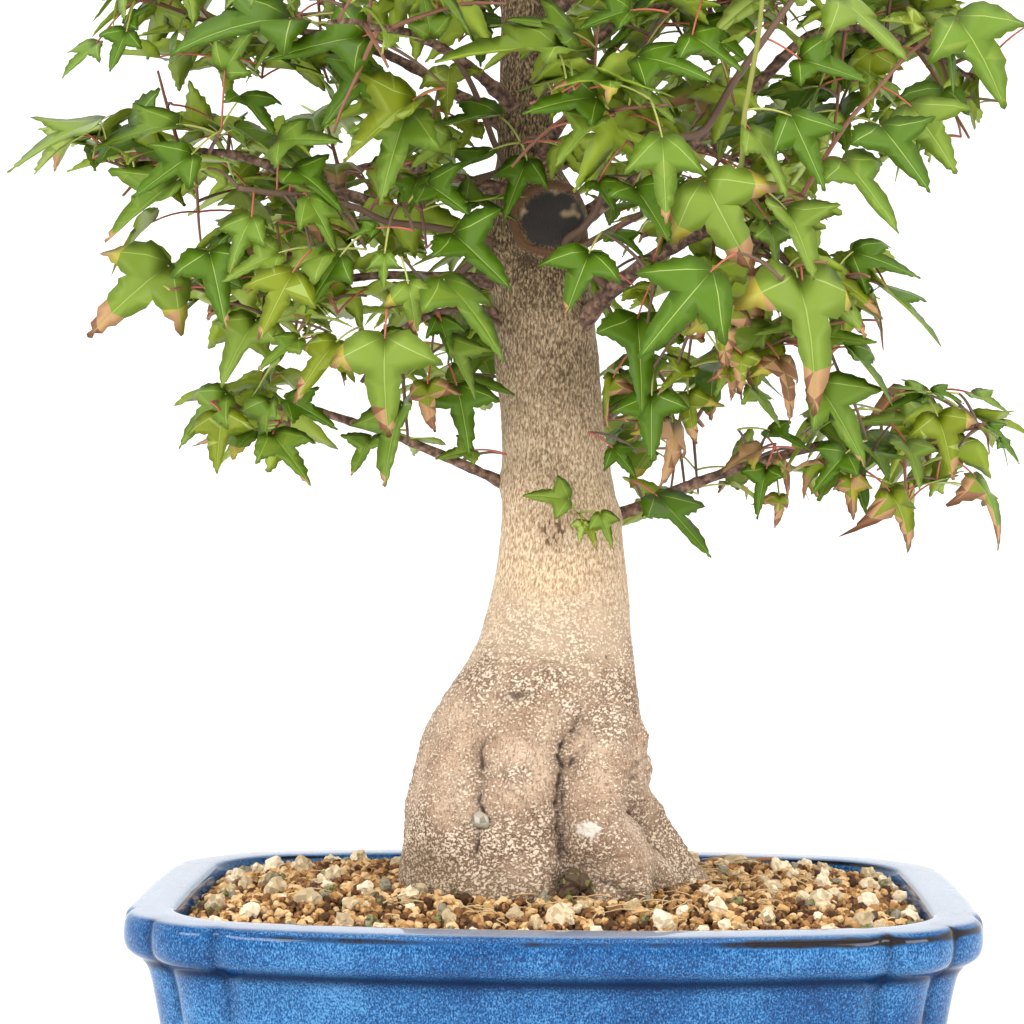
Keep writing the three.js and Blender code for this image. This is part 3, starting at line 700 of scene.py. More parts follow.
for _ in range(ROOTLET_COUNT):
    turn = soil_draw.normal(*ROOTLET_TURNS)
    away = soil_draw.uniform(*ROOTLET_RING)
    spot = np.array([away * math.cos(turn) + FOOT_MIDDLE, 0.6 * away * math.sin(turn)])
    bearings = soil_draw.uniform(0, 2 * math.pi) + np.cumsum(soil_draw.normal(0, ROOTLET_BEND, ROOTLET_STEPS))
    steps = np.stack([np.cos(bearings), np.sin(bearings)], axis=1) * ROOTLET_STEP
    plan = spot + np.cumsum(steps, axis=0)
    if soil_inset(plan[:, 0], plan[:, 1]).min() < SOIL_INSET + ROOTLET_WALL_GAP:
        continue
    rises = 0.9 + 0.8 * np.sin(np.linspace(0, 3, ROOTLET_STEPS))
    path = smooth_line([soil_place(x, y, rise) for (x, y), rise in zip(plan, rises)], 2)
    stones.limb(path, ROOTLET_RADII, 4, len(stone_tones) - 2)
root_path = smooth_line([soil_place(*spot) for spot in BACK_ROOT], 5)
stones.limb(root_path, BACK_ROOT_RADII, 7, len(stone_tones) - 1)
stone_piece = stones.piece("soil_pumice", *plain_finishes("stone", stone_tones, 0.85), smooth=False)
settle(stone_piece, ["soil"])

pebble = Bundle()
pebble.take(crumb(np.array(PEBBLE_PLACE), PEBBLE_SIZE, PEBBLE_LUMPS), CRUMB_FACES, face_tones(1, 3))
pebble_piece = pebble.piece("crease_pebble", *plain_finishes("pebble", PEBBLE_TONES, 0.7))
settle(pebble_piece, ["soil"])

# The trunk: one living stem with a swollen foot of fused roots that run into the soil. Its bark is creased
# and corky below, smooth where a root has swelled, rubbed pale in one place, and finely fibrous above.
# A leader was once sawn off at the front.
TRUNK_STATIONS = np.array([  # height, sideways drift of the axis, radius
    (88.3, -8, 43), (125, -9, 43.5), (155, -6, 37), (180, -0.5, 28.5), (211, 2, 23.2), (250, -1, 19.6),
    (300, -5.5, 18.6), (338, -8.5, 17), (358, -11.8, 11), (415, -11.8, 9), (455, -9, 5.6), (486, -7, 2.2),
])
TRUNK_FOOT = TRUNK_STATIONS[0, 0]
TRUNK_TIP = TRUNK_STATIONS[-1, 0]
TRUNK_FLATTEN = 0.94
TRUNK_AROUND = 250
TRUNK_FRONT = 0.5  # how much closer the rings' points stand at the front
TRUNK_LEVELS = [(83, 186, 210), (186, 310, 60), (310, 352, 60), (352, TRUNK_TIP, 60)]  # from, to, rings
ROOT_FLARE = 1.5
ROOTS = [  # direction and half width in degrees, reach at the ground, height of the top
    (210, 44, 7, 185), (258, 24, 8, 168), (304, 17, 19, 156), (8, 24, 23, 124), (68, 32, 13, 150),
    (138, 34, 12, 158),
]
# A limb's bough: height on the trunk, turn, length, rise, lift and radius. Then its leaves: half sizes and
# how low they hang.
LIMBS = {
    "right_low": (214, 7, 96, 36, 3, 2.8, 62, 48, 36, 2),
    "left_low": (223, 187, 88, 38, 4, 2.6, 44, 44, 32, 0),
    "right_behind": (240, 48, 48, 30, 3, 2.8, 44, 50, 46, 12),
    "right_main": (283, 322, 68, 42, 4, 4.4, 62, 58, 54, 24),
    "left_mid": (290, 204, 36, 10, 3, 2.4, 42, 44, 46, 28),
    "back_low": (296, 100, 58, 16, 4, 3.2, 58, 66, 54, 12),
    "left_under": (305, 196, 68, 6, 3, 2.6, 62, 54, 42, 12),
    "left_main": (324, 182, 98, 28, -3, 3.4, 70, 60, 44, -2),
    "right_upper": (326, 6, 98, 74, -6, 3.6, 78, 66, 60, 12),
    "back_left": (332, 134, 82, 28, 4, 3.2, 62, 64, 52, 6),
    "left_inner": (338, 224, 36, 8, 2, 2.4, 46, 46, 48, 2),
    "front_mid": (348, 290, 46, 20, 3, 2.6, 50, 54, 48, 6),
    "back_right": (350, 48, 76, 20, 4, 3.2, 62, 64, 52, 6),
    "left_upper": (362, 186, 66, 36, 4, 2.8, 72, 60, 44, -8),
    "front_left": (370, 240, 76, 22, 4, 2.8, 60, 58, 46, 2),
    "right_inner": (376, 328, 44, 28, 3, 2.6, 58, 56, 48, 0),
    "top_right": (402, 12, 50, 34, 4, 2.8, 72, 68, 50, 2),
    "top_left": (408, 168, 48, 28, 4, 2.8, 72, 68, 50, 2),
    "top_back": (416, 95, 42, 28, 4, 2.4, 60, 64, 50, 2),
    "top_front": (422, 275, 40, 28, 4, 2.4, 62, 64, 50, 2),
}
BOUGH_COLLAR = (0.6, 1.7)  # height and half width of the bark's swelling round a bough, over its radius
FRONT_FADE = 0.35  # how far forward, over the trunk's reach, what is drawn from the front shows in full
LINE_STRAY = 1.3  # how far what is drawn wanders, and the scale of the noise that moves it
LINE_STRAY_SCALE = 0.11
VALLEY_WIDTH = 5  # of the soft valley round a crease, and of the painted shade along it, over the crease's half width
# Creases seen from the front, cut into the bark and darkened with painted shade: depth, half width and the
# line's points across and up.
CREASES = [
    (3.0, 1.2, [(-25.3, 143), (-26.9, 138), (-26.1, 130), (-26.3, 122), (-25.6, 117)]),
    (2.8, 1.1, [(-26.8, 112), (-27.4, 108), (-28.4, 101)]),
    (1.2, 0.8, [(-23, 141), (-24.6, 136), (-23.4, 131)]),
    (3.6, 1.3, [
        (9.6, 150), (6.4, 145), (2.8, 141), (2.2, 137), (4.6, 133), (2.6, 127), (1.6, 119), (2.4, 110),
    ]),
    (2.2, 0.8, [
        (13.6, 148), (10.6, 141), (5.8, 134), (4.2, 126), (4, 117), (5, 109), (8.4, 102.5), (15, 97.5),
    ]),
    (2.0, 0.8, [(15, 97.5), (22, 92.5), (30, 88)]),
    (1.6, 1.0, [(-20, 156.7), (-13.6, 158.7), (-7, 159.2)]),
    (1.4, 0.8, [(-38, 169), (-30, 171.5), (-21, 170.5), (-12, 168.5), (-3, 169)]),
    (1.4, 0.9, [(26.6, 143), (27.8, 136), (28.5, 127), (27, 116), (26.2, 109)]),
    (1.0, 0.8, [(-12, 135), (-5, 128), (1, 120)]),
    (2.6, 1.3, [(30, 116), (34, 109), (37, 103), (40, 97), (43, 92)]),
]
# Rounded roots and ridges seen from the front: height, half width and the line's points across and up.
RIDGES = [
    (8.2, 10.5, [(18.5, 146), (17, 132), (16, 121), (17, 113), (21, 108), (27, 102), (33, 96), (38, 89)]),
    (1.5, 1.7, [(-16.7, 131), (-9, 122), (-0.5, 112)]),
    (1.4, 1.8, [(-34, 174), (-14, 175), (4, 171), (20, 168)]),
]
# Swellings seen from the front, the deeper hollows among them darkened with painted shade: height of the
# swelling, place and half sizes, across and up.
SWELLS = [
    (2.6, (-12, 122), (12, 22)), (0.8, (-42, 122), (12, 30)), (1.5, (-9, 146), (9, 8)),
    (-5.0, (4.8, 105), (3.2, 6)), (-11, (8.5, 92), (6.5, 8)), (-5, (35.6, 105), (4.4, 6)),
    (-1.6, (-14, 159), (7, 2.2)),
    (-1.6, (20, 172.5), (1.2, 1.2)), (-1.4, (-3, 168), (1.8, 0.9)), (-1.4, (-17, 172.5), (2.0, 0.8)),
    (2.0, (-24, 279), (3, 5)), (2.2, (-25, 323), (3.4, 5)), (1.2, (2, 222), (6, 5)),
    (-1.0, (0, 213), (5, 5)),
    (1.4, (-25, 139), (2.6, 3.4)), (-2.2, (-11, 317.5), (6.5, 3)), (-1.8, (2, 318.5), (7, 2)),
]
# Knobs and hollows round the foot: turn, height, how far out and size.
KNOBS = [
    (-14, 143, 3.2, 5.5), (-6, 131, 3, 5), (-18, 121, 3.2, 6), (-4, 116, 2.6, 5), (0, 140, 2, 4),
    (4, 104, 3, 9), (180, 122, -2.4, 26), (180, 168, -1.8, 16),
]
BURR_PLACE = (30.5, 133)  # a knobbly dark patch, across and up, with its half sizes
BURR_HALF = (4.2, 16)
BURR_HEIGHT = 1.8
SCUFF_PLACE = (11, 112.5)  # a pale rubbed patch on the right root
SCUFF_HALF = (4.2, 3.2)
SCUFF_TONE = (224, 214, 200)
SMOOTH_SKIN = [  # stretches almost bare of cork: place and half sizes, across and up
    ((14, 124), (8, 15)), ((-39, 133), (9, 13)), ((-12, 150), (13, 6)), ((26, 104), (9, 8)),
]
WRINKLE_HEIGHT = 0.3  # of the fine wrinkles there, with how fast they follow each other upwards
WRINKLE_RATE = 1.9
FOOT_ROUGH_TOP = 182  # where the foot's coarse relief ends, and how far below that it is full
FOOT_ROUGH_FADE = 20
SCAR_PLACE = (-2, 332.5)  # where a leader was sawn off, with half sizes
SCAR_HALF = (12.2, 11.2)
SCAR_EDGE = 0.12  # width of its edge, over the half sizes
SCAR_SINK = 1.5
SCAR_TILT = 0.3
CALLUS_HEIGHT = 2.4
CALLUS_RING = (1.12, 0.17)  # middle and half width, over the scar's half sizes
BARK_LINE = 0.172  # metres up, where the corky foot ends
FOOT_TONES = [(148, 118, 95), (186, 157, 131), (214, 187, 161)]
CRACK_AND_HOLLOW_SHADE_TONE = (98, 70, 50)
CORK_TONE = (240, 219, 192)
CORK_STRAY = 0.0016
MIDDLE_TONES = [(156, 124, 92), (199, 171, 138), (230, 208, 180)]
UPPER_TONES = [(52, 38, 23), (102, 81, 55), (170, 146, 111)]
FLECK_TONE = (44, 34, 20)
# A dark patch on the trunk's front: painted shade under the sprout's leaves, over a dirty hollow.
SHADE_AND_STAIN_TONE = (100, 74, 50)
SHADE_AND_STAIN_PLACE = (-1, 217.5)
SHADE_AND_STAIN_HALF = (6, 7)
# Painted shade in the creases and hollows, and the burr's own dark bark.
SHADE_AND_BURR_TONE = (66, 48, 37)
CUT_TONE = (58, 51, 50)
CUT_PALE = (190, 164, 130)
CALLUS_TONE = (104, 72, 46)
MOSS_TONE = (112, 90, 58)


def trunk_shape(z):
    """The axis's sideways drift and the radius of the trunk at some heights."""
    heights, values = TRUNK_STATIONS[:, 0], TRUNK_STATIONS[:, 1:]
    slopes = np.empty_like(values)
    slopes[1:-1] = (values[2:] - values[:-2]) / (heights[2:] - heights[:-2])[:, None]
    slopes[0] = (values[1] - values[0]) / (heights[1] - heights[0])
    slopes[-1] = (values[-1] - values[-2]) / (heights[-1] - heights[-2])
    step = np.clip(np.searchsorted(heights, z, side="right") - 1, 0, len(heights) - 2)
    span = (heights[step + 1] - heights[step])[..., None]
    share = np.clip((z - heights[step])[..., None] / span, 0, 1)
    start, end = values[step], values[step + 1]
    made = start + (end - start) * share * share * (3 - 2 * share)
    made += span * slopes[step] * share * (1 - share) ** 2 - span * slopes[step + 1] * share**2 * (1 - share)
    return made[..., 0], made[..., 1]


def root_swell(turn, z):
    swell = np.zeros_like(z)
    for middle, spread, reach, top in ROOTS:
        off = (np.degrees(turn) - middle + 180) % 360 - 180
        rise = np.clip((top - z) / (top - TRUNK_FOOT), 0, 1)
        swell += reach * bell(off, spread) * rise**ROOT_FLARE
    return swell


def arch(start, bend, end, shares):
    """Points of a curve that leaves start towards bend and comes into end from it."""
    shares = np.asarray(shares, float)[:, None]
    return (1 - shares) ** 2 * start + 2 * shares * (1 - shares) * bend + shares**2 * end


def aimed(start, end):
    """The length and the direction of the way from one place to another."""
    length = np.linalg.norm(end - start)
    return length, (end - start) / length


def heading(turn):
    return np.array([math.cos(turn), math.sin(turn), 0])


def trunk_axis(z):
    return np.array([float(trunk_shape(np.array(z, float))[0]), 0, z])


def bough_line(limb, shares):
    height, turn, length, rise, lift = LIMBS[limb][:5]
    start = trunk_axis(height)
    tip = start + length * heading(math.radians(turn)) + (0, 0, rise)
    return arch(start, (start + tip) / 2 + (0, 0, 2 * lift), tip, shares)


def roughness(points, scale, octaves=3):
    """Noise from about -1 to 1 with features about 1 / scale millimetres wide."""
    flat = points.reshape(-1, 3) * scale
    values = [noise.fractal(Vector(place), 1.0, 2.0, octaves) for place in flat]
    return np.array(values).reshape(points.shape[:-1])


def line_distance(x, z, line):
    nearest = np.full(x.shape, np.inf)
    for (start_x, start_z), (end_x, end_z) in zip(line, line[1:]):
        run_x, run_z = end_x - start_x, end_z - start_z
        share = ((x - start_x) * run_x + (z - start_z) * run_z) / (run_x**2 + run_z**2)
        share = np.clip(share, 0, 1)
        nearest = np.minimum(nearest, np.hypot(x - start_x - share * run_x, z - start_z - share * run_z))
    return nearest


def trunk_points(turn, z, reach):
    drift = trunk_shape(z)[0]
    return np.stack([drift + reach * np.cos(turn), TRUNK_FLATTEN * reach * np.sin(turn), z], axis=-1)


even_turn = np.arange(TRUNK_AROUND) / TRUNK_AROUND * 2 * math.pi
trunk_levels = [
    np.linspace(low, high, rings, endpoint=high == TRUNK_TIP) for low, high, rings in TRUNK_LEVELS
]
trunk_z, trunk_turn = np.meshgrid(
    np.concatenate(trunk_levels),
    even_turn - TRUNK_FRONT * np.cos(even_turn),
    indexing="ij",
)
trunk_radius = trunk_shape(trunk_z)[1]
trunk_reach = trunk_radius + root_swell(trunk_turn, trunk_z)
plain = trunk_points(trunk_turn, trunk_z, trunk_reach)
facing = np.clip(-plain[..., 1] / (FRONT_FADE * trunk_reach), 0, 1)
wobble = roughness(plain, LINE_STRAY_SCALE, 2)
seen_x = plain[..., 0] + LINE_STRAY * wobble
seen_z = trunk_z + LINE_STRAY * roughness(plain + 50, LINE_STRAY_SCALE, 2)
broken = np.clip(0.7 + 0.9 * roughness(plain + 90, 0.22, 2), 0.1, 1)
# The crease mask is painted shade: dark along each crease and in a soft halo round it, in the deeper hollows,
# and over the burr's own dark bark.
crease = np.zeros_like(trunk_z)
relief = np.zeros_like(trunk_z)
for depth, width, line in CREASES:
    away = line_distance(seen_x, seen_z, line)
    cut = bell(away, width) * facing * broken
    valley = bell(away, VALLEY_WIDTH * width) * facing
    relief -= 0.6 * depth * (cut + valley)
    crease = np.maximum(crease, np.maximum(cut, 0.5 * valley) * min(1, depth / 2.4))
for height, width, line in RIDGES:
    away = line_distance(seen_x, seen_z, line)
    relief += height * np.clip(1 - (away / width) ** 2, 0, 1) ** 0.7 * facing


def patch(place, half):
    """1 in the middle of a place seen from the front, falling to 0 past its half sizes."""
    return np.exp(-(((seen_x - place[0]) / half[0]) ** 2) - ((seen_z - place[1]) / half[1]) ** 2) * facing


# Hollows deeper than 1.5 mm also get painted shade.
for height, place, half in SWELLS:
    mound = patch(place, half)
    relief += height * mound
    crease = np.maximum(crease, mound * (height < -1.5) * 0.8)
burr = patch(BURR_PLACE, BURR_HALF) * np.clip(0.4 + 1.5 * roughness(plain + 20, 0.4, 2), 0, 1)
relief += BURR_HEIGHT * burr
crease = np.maximum(crease, 0.7 * burr)
smooth = np.max([patch(place, half) for place, half in SMOOTH_SKIN], axis=0)
relief += WRINKLE_HEIGHT * smooth * np.sin(WRINKLE_RATE * trunk_z + 4 * wobble)
for turn, z, out, size in KNOBS:
    off = ((np.degrees(trunk_turn) - turn + 180) % 360 - 180) * trunk_reach * math.pi / 180
    relief += out * np.exp(-((off / size) ** 2) - ((trunk_z - z) / size) ** 2)
low_share = np.clip((FOOT_ROUGH_TOP - trunk_z) / FOOT_ROUGH_FADE, 0, 1)
relief += (0.5 + 0.9 * low_share) * np.clip(trunk_radius / 18, 0.3, 1) * roughness(plain, 0.045, 2)
fine_relief = roughness(plain * (1, 1, 1.6), 0.28, 3)
relief += (0.25 + 0.35 * low_share) * np.clip(trunk_radius / 18, 0.4, 1) * fine_relief
for limb, limb_row in LIMBS.items():
    limb_path = bough_line(limb, np.linspace(0, 1, 60))
    path_drift, path_radius = trunk_shape(limb_path[:, 2])
    clear = np.hypot(limb_path[:, 0] - path_drift, limb_path[:, 1] / TRUNK_FLATTEN) > path_radius
    exit_place = limb_path[np.argmax(clear)]
    gap = np.linalg.norm(plain - exit_place, axis=-1)
    swelling, spread = np.multiply(BOUGH_COLLAR, limb_row[5])
    relief += swelling * bell(gap, spread)
oval = np.hypot((seen_x - SCAR_PLACE[0]) / SCAR_HALF[0], (trunk_z - SCAR_PLACE[1]) / SCAR_HALF[1])
callus = bell(oval - CALLUS_RING[0], CALLUS_RING[1]) * facing
scar = np.clip((1.0 - oval) / SCAR_EDGE, 0, 1) * (facing > 0.5)
relief += CALLUS_HEIGHT * callus
trunk_place = trunk_points(trunk_turn, trunk_z, trunk_reach + relief)
scar_front = -TRUNK_FLATTEN * float(trunk_shape(np.array(float(SCAR_PLACE[1])))[1]) + SCAR_SINK
cut_face = scar_front + SCAR_TILT * (trunk_z - SCAR_PLACE[1]) + 0.5 * wobble
trunk_place[..., 1] = (1 - scar) * trunk_place[..., 1] + scar * cut_face
# A dark patch on the trunk's front: painted shade under the sprout's leaves, over a dirty hollow.
sprout_shade_and_stain = patch(SHADE_AND_STAIN_PLACE, SHADE_AND_STAIN_HALF)
trunk_mesh = rolled(trunk_place, {
    "crease": crease, "scar": scar, "callus": callus, "sprout_shade_and_stain": sprout_shade_and_stain, "smooth": smooth,
    "scuff": patch(SCUFF_PLACE, SCUFF_HALF),
})
bmesh.ops.holes_fill(trunk_mesh, edges=trunk_mesh.edges)
bmesh.ops.recalc_face_normals(trunk_mesh, faces=trunk_mesh.faces)

bark, bark_shader = principled("trunk_bark", paint(*MIDDLE_TONES[1]), 0.85)
on_bark = object_place(bark)
up_the_trunk = coordinate(bark, on_bark, "Z")
cloud = grain(bark, on_bark, 45, 3)
unevenness = cloud - 0.5
ragged = up_the_trunk + unevenness * 0.05
above_line = ragged.rising(BARK_LINE - 0.006, BARK_LINE + 0.036)
low_down = 1.0 - ragged.rising(0.1, 0.128)
near_line = ragged.rising(0.148, 0.166)
crowding = grain(bark, on_bark, 75, 3) + low_down * 0.16 + near_line * 0.12
cork_kept = 1.0 - attribute(bark, "smooth") * 0.85
dense = crowding.rising(0.3, 0.74) * cork_kept
stray = add(bark, "TexNoise", Vector=on_bark, Scale=700, Detail=1).outputs["Color"]


def cork(stretch, scale, reach, gain):
    """One layer of cork specks, drawn out by a stretch, that grow where the cork is dense."""
    spread = (CORK_STRAY, CORK_STRAY, CORK_STRAY)
    moved = add(bark, "VectorMath", {"operation": "MULTIPLY_ADD"}, _0=stray, _1=spread, _2=on_bark)
    place = add(bark, "Mapping", Vector=moved.outputs["Vector"], Scale=stretch).outputs["Vector"]
    away = Share(bark, add(bark, "TexVoronoi", Vector=place, Scale=scale).outputs["Distance"])
    return (reach + dense * gain - away).rising(-0.1, 0.08)


dots = cork((1, 1, 1.1), 720, 0.22, 0.18)
dashes = cork((0.5, 0.5, 1.1), 700, 0.19, 0.12)
crumbs = cork((1, 1, 1), 1350, 0.16, 0.16)
corks = dots.larger(dashes).larger(crumbs * 0.7)
fibres = grain(bark, object_place(bark, (1, 1, 0.42)), 1400, 2, 0.5)
foot_colour = cloud.ramp((0.3, 0.5, 0.7), FOOT_TONES)
# Dark where the cork crowds and along fine fibres: the bark's own cracks, with painted shade of the hollows
# round the cork.
foot_colour = (dense * 0.75).mix(foot_colour, CRACK_AND_HOLLOW_SHADE_TONE)
foot_colour = (fibres.rising(0.5, 0.6) * 0.6).mix(foot_colour, CRACK_AND_HOLLOW_SHADE_TONE)
foot_colour = (corks * 0.85).mix(foot_colour, CORK_TONE)
higher = (up_the_trunk + unevenness * 0.1).rising(0.2, 0.33)
middle_colour = fibres.ramp((0.35, 0.5, 0.65), MIDDLE_TONES)
upper_colour = fibres.ramp((0.36, 0.5, 0.67), UPPER_TONES)
stem_colour = higher.mix(middle_colour, upper_colour)
dark_flecks = grain(bark, object_place(bark, (1, 1, 0.3)), 1000, 1).rising(0.55, 0.65)
stem_colour = (dark_flecks * (higher * 0.45 + 0.03)).mix(stem_colour, FLECK_TONE)
# Painted shade under the sprout's leaves, over a dirty hollow.
shaded_and_stained = attribute(bark, "sprout_shade_and_stain") * (dark_flecks + 0.4)
stem_colour = shaded_and_stained.mix(stem_colour, SHADE_AND_STAIN_TONE)
skin = above_line.mix(foot_colour, stem_colour)
pale_band = ragged.rising(0.168, 0.176) - ragged.rising(0.18, 0.198)
skin = (pale_band * 0.2).mix(skin, MIDDLE_TONES[2])
wet = 1.0 - ragged.rising(0.088, 0.102)
skin = (wet * 0.4).mix(skin, MOSS_TONE)
rubbed = attribute(bark, "scuff") + grain(bark, on_bark, 480, 3) * 1.6 - 0.8
skin = rubbed.rising(0.35, 0.8).mix(skin, SCUFF_TONE)
# Painted shade in the creases and hollows, and the burr's dark bark.
skin = attribute(bark, "crease").rising(0.25, 1.0).mix(skin, SHADE_AND_BURR_TONE)
healed = attribute(bark, "callus") * (fibres + 0.45)
skin = healed.rising(0.3, 0.9).mix(skin, CALLUS_TONE)
cut_colour = cloud.rising(0.6, 0.66).mix(CUT_TONE, CUT_PALE)
coloured(bark_shader, attribute(bark, "scar").mix(skin, cut_colour))
corked = corks * (1.0 - above_line)
bumped(bark_shader, fibres * above_line + corked * 0.6, 0.0007, 0.8)
trunk_piece = finished("trunk_bark", trunk_mesh, bark)
settle(trunk_piece, ["trunk"])

# The boughs: woody limbs with rough purple-brown bark, jointed where pairs of leaves once stood. Each grows
# out of a collar on the trunk and runs on as the stem in the middle of its leaves.
BOUGH_TAPER = 0.55
BOUGH_WAIST = 0.72
COLLAR = (20, 32)  # where along a bough its thick root ends and its waist begins
MASS_FORWARD = 0.5
APEX = (62, 62, 58, 18)  # half sizes along, across and tall, and climb above the trunk's tip
STEM_REACH = 0.35
STEM_BEND = 0.4
STEM_TIP_RADIUS = 0.8
BOUGH_SIDES = 14
BOUGH_STEP = 2.2
BOUGH_WANDER = 1.6
WANDER_SEED = 5  # of the noise that bends limbs and twigs
WANDER_START = 30  # length over which those bends grow from nothing
WANDER_LENGTH = 19  # of one bend
WANDER_APART = 7.3  # between one limb's noise and the next
NODE_SPACING = 12
NODE_HALF = 1.3  # half width and height of the joints, the height over the bough's radius
NODE_SWELL = 0.16
BOUGH_LUMPS = 0.14  # over the bough's radius, with the scale of their noise
BOUGH_LUMP_SCALE = 0.35
BOUGH_TONES = [(62, 46, 40), (112, 82, 66), (150, 122, 102)]


class Mass:
    """The space that one limb's leaves fill: a turned ellipsoid past the tip of the bough."""

    def __init__(self, name):
        self.name = name
        if name == "apex":
            self.size = np.array(APEX[:3], float)
            self.along = np.array([1.0, 0, 0])
            self.tip = trunk_axis(TRUNK_TIP)
            self.growth = np.array([0, 0, 1.0])
            self.centre = self.tip + (0, 0, APEX[3])
            self.tip_radius = TRUNK_STATIONS[-1, 2]
        else:
            row = LIMBS[name]
            ending = bough_line(name, [0.98, 1])
            self.size = np.array(row[6:9], float)
            self.along = heading(math.radians(row[1]))
            self.tip = ending[1]
            self.growth = aimed(*ending)[1]
            self.centre = self.tip + MASS_FORWARD * row[6] * self.along - (0, 0, row[9])
            self.tip_radius = row[5] * BOUGH_TAPER
        self.across = np.array([-self.along[1], self.along[0], 0])
        self.weight = (self.size.sum() / 3) ** 2

    def point(self, along, across, up):
        """A point given by shares of the half sizes."""
        out = along * self.size[0] * self.along + across * self.size[1] * self.across
        return self.centre + out + (0, 0, up * self.size[2])

    def stem_line(self, shares):
        end = self.point(0, 0, STEM_REACH) if self.name == "apex" else self.point(STEM_REACH, 0, 0)
        bend = self.tip + STEM_BEND * np.linalg.norm(end - self.tip) * self.growth
        return arch(self.tip, bend, end, shares)


def even_steps(path, step):
    """The path with points about one step apart."""
    lengths = np.append(0, np.cumsum(np.linalg.norm(np.diff(path, axis=0), axis=1)))
    marks = np.linspace(0, lengths[-1], max(4, int(lengths[-1] / step)))
    return np.stack([np.interp(marks, lengths, path[:, axis]) for axis in range(3)], axis=1), marks


def wandered(path, marks, amount, seed):
    """The path with slow sideways bends that start from nothing at its root."""
    grow = np.clip(marks / WANDER_START, 0, 1)[:, None]
    places = [Vector((mark / WANDER_LENGTH, seed * WANDER_APART, 1.7)) for mark in marks]
    sway = [noise.noise_vector(place) for place in places]
    return path + amount * grow * np.array(sway)


noise.seed_set(WANDER_SEED)
masses = [Mass(name) for name in [*LIMBS, "apex"]]
boughs = Bundle()
for index, mass in enumerate(masses):
    shares = np.linspace(0, 1, 80)
    stem_path = mass.stem_line(shares)
    if mass.name == "apex":
        whole, marks = even_steps(stem_path, BOUGH_STEP)
        thickness = np.interp(marks, [0, marks[-1]], [mass.tip_radius, STEM_TIP_RADIUS])
        root_length = 0
    else:
        bough_path = bough_line(mass.name, shares)
        whole, marks = even_steps(np.concatenate([bough_path, stem_path[1:]]), BOUGH_STEP)
        root_length = np.linalg.norm(np.diff(bough_path, axis=0), axis=1).sum()
        thick = LIMBS[mass.name][5]
        thickness = np.interp(
            marks,
            [0, *COLLAR, root_length, marks[-1]],
            [thick, thick, BOUGH_WAIST * thick, mass.tip_radius, STEM_TIP_RADIUS],
        )
    whole = wandered(whole, marks, BOUGH_WANDER, index)
    past_joint = (marks + 3 * index) % NODE_SPACING - NODE_SPACING / 2
    thickness = thickness * (1 + NODE_SWELL * bell(past_joint, NODE_HALF))
    mass.stem_path = whole[marks >= root_length]
    mass.clear_path = whole[marks >= min(COLLAR[1], root_length)]
    bough_points, bough_faces = tube(whole, thickness, BOUGH_SIDES)
    lumps = roughness(bough_points, BOUGH_LUMP_SCALE, 2)[:, None]
    middles = np.repeat(whole, BOUGH_SIDES, axis=0)
    bough_points[:-2] += BOUGH_LUMPS * lumps[:-2] * (bough_points[:-2] - middles)
    boughs.take(bough_points, bough_faces, [0] * len(bough_faces))
bough_bark, bough_shader = principled("bough_bark", paint(*BOUGH_TONES[1]), 0.8)
bough_grain = grain(bough_bark, object_place(bough_bark), 420, 3, 0.3)
coloured(bough_shader, bough_grain.ramp((0.36, 0.52, 0.68), BOUGH_TONES))
bumped(bough_shader, bough_grain, 0.0006, 0.8)
bough_piece = boughs.piece("boughs", bough_bark)
settle(bough_piece, [limb + "_bough" for limb in LIMBS])

# The crown: on every stem twigs spread to all sides, and they carry pairs of three-lobed leaves on long red
# or green stalks. A mass keeps to its own space. Many lower leaves are scorched at the tips or withered.
SPRAY_SECTION = 480
SPRAY_REACH = (0.42, 0.86)
SPRAY_BAND = (1, -0.7)
STEM_JOINTS = (0.96, 0.22)
GOLDEN_TURN = math.pi * (3 - math.sqrt(5))
TWIG_TRIES = 6
LEAF_TRIES = 14
TWIG_SHORTEST = 8
TWIG_STEP = 4
TWIG_WANDER = 1.2
TWIG_SIDES = 6
TWIG_RADII = (0.9, 0.5)
LEAF_JOINTS = [(0.45, 1.5), (0.72, 1.0), (0.72, -1.0), (0.98, 0.6), (0.98, -0.6), (1.0, 0.0)]
SIDE_JOINTS = [(1.0, 0.6), (1.0, -0.6)]
SIDE_TWIG_AT = 0.55
SIDE_TWIG_TURN = 0.9
SIDE_TWIG_RADII = (0.7, 0.45)
SIDE_TWIG_SHARE = 0.5
LEAF_LENGTHS = (20, 39)
LEAF_RIBS = ((0, 0), (0.5, 0), (0.96, 0), (0.55, 0.46), (0.55, -0.46))  # spots of a leaf that need room
STALK_LENGTHS = (9, 24)
STALK_LIFT = (-0.25, 0.75)
STALK_RADII = (0.45, 0.34)
GREEN_STALKS = 0.45  # the share of stalks that are green, here and on the leaves that stand out in front
FRONT_GREEN_STALKS = 0.5
LEAF_DROOP = (-0.2, 0.8)
LEAF_UPWARD = 0.8  # how strongly a leaf's face turns up, out from its mass and at random
LEAF_OUTWARD = 0.5
LEAF_TUMBLE = 1.1
LEAF_WANDER = 0.9
BORDER_CROSSING = 5  # how far a leaf may reach over the border to a neighbouring mass
LEAF_APART = 7
TRUNK_CLEAR = 3
WITHERED = {
    "right_main": 0.36, "right_low": 0.4, "right_behind": 0.36, "left_mid": 0.3, "left_under": 0.2,
    "left_low": 0.16, "right_upper": 0.14, "left_main": 0.1, "back_low": 0.2,
}
WITHERED_ELSEWHERE = 0.05
SCORCH_STEPS = [0.22, 0.6, 1]  # shares of the leaves that wither, wholly, mostly or at the tip
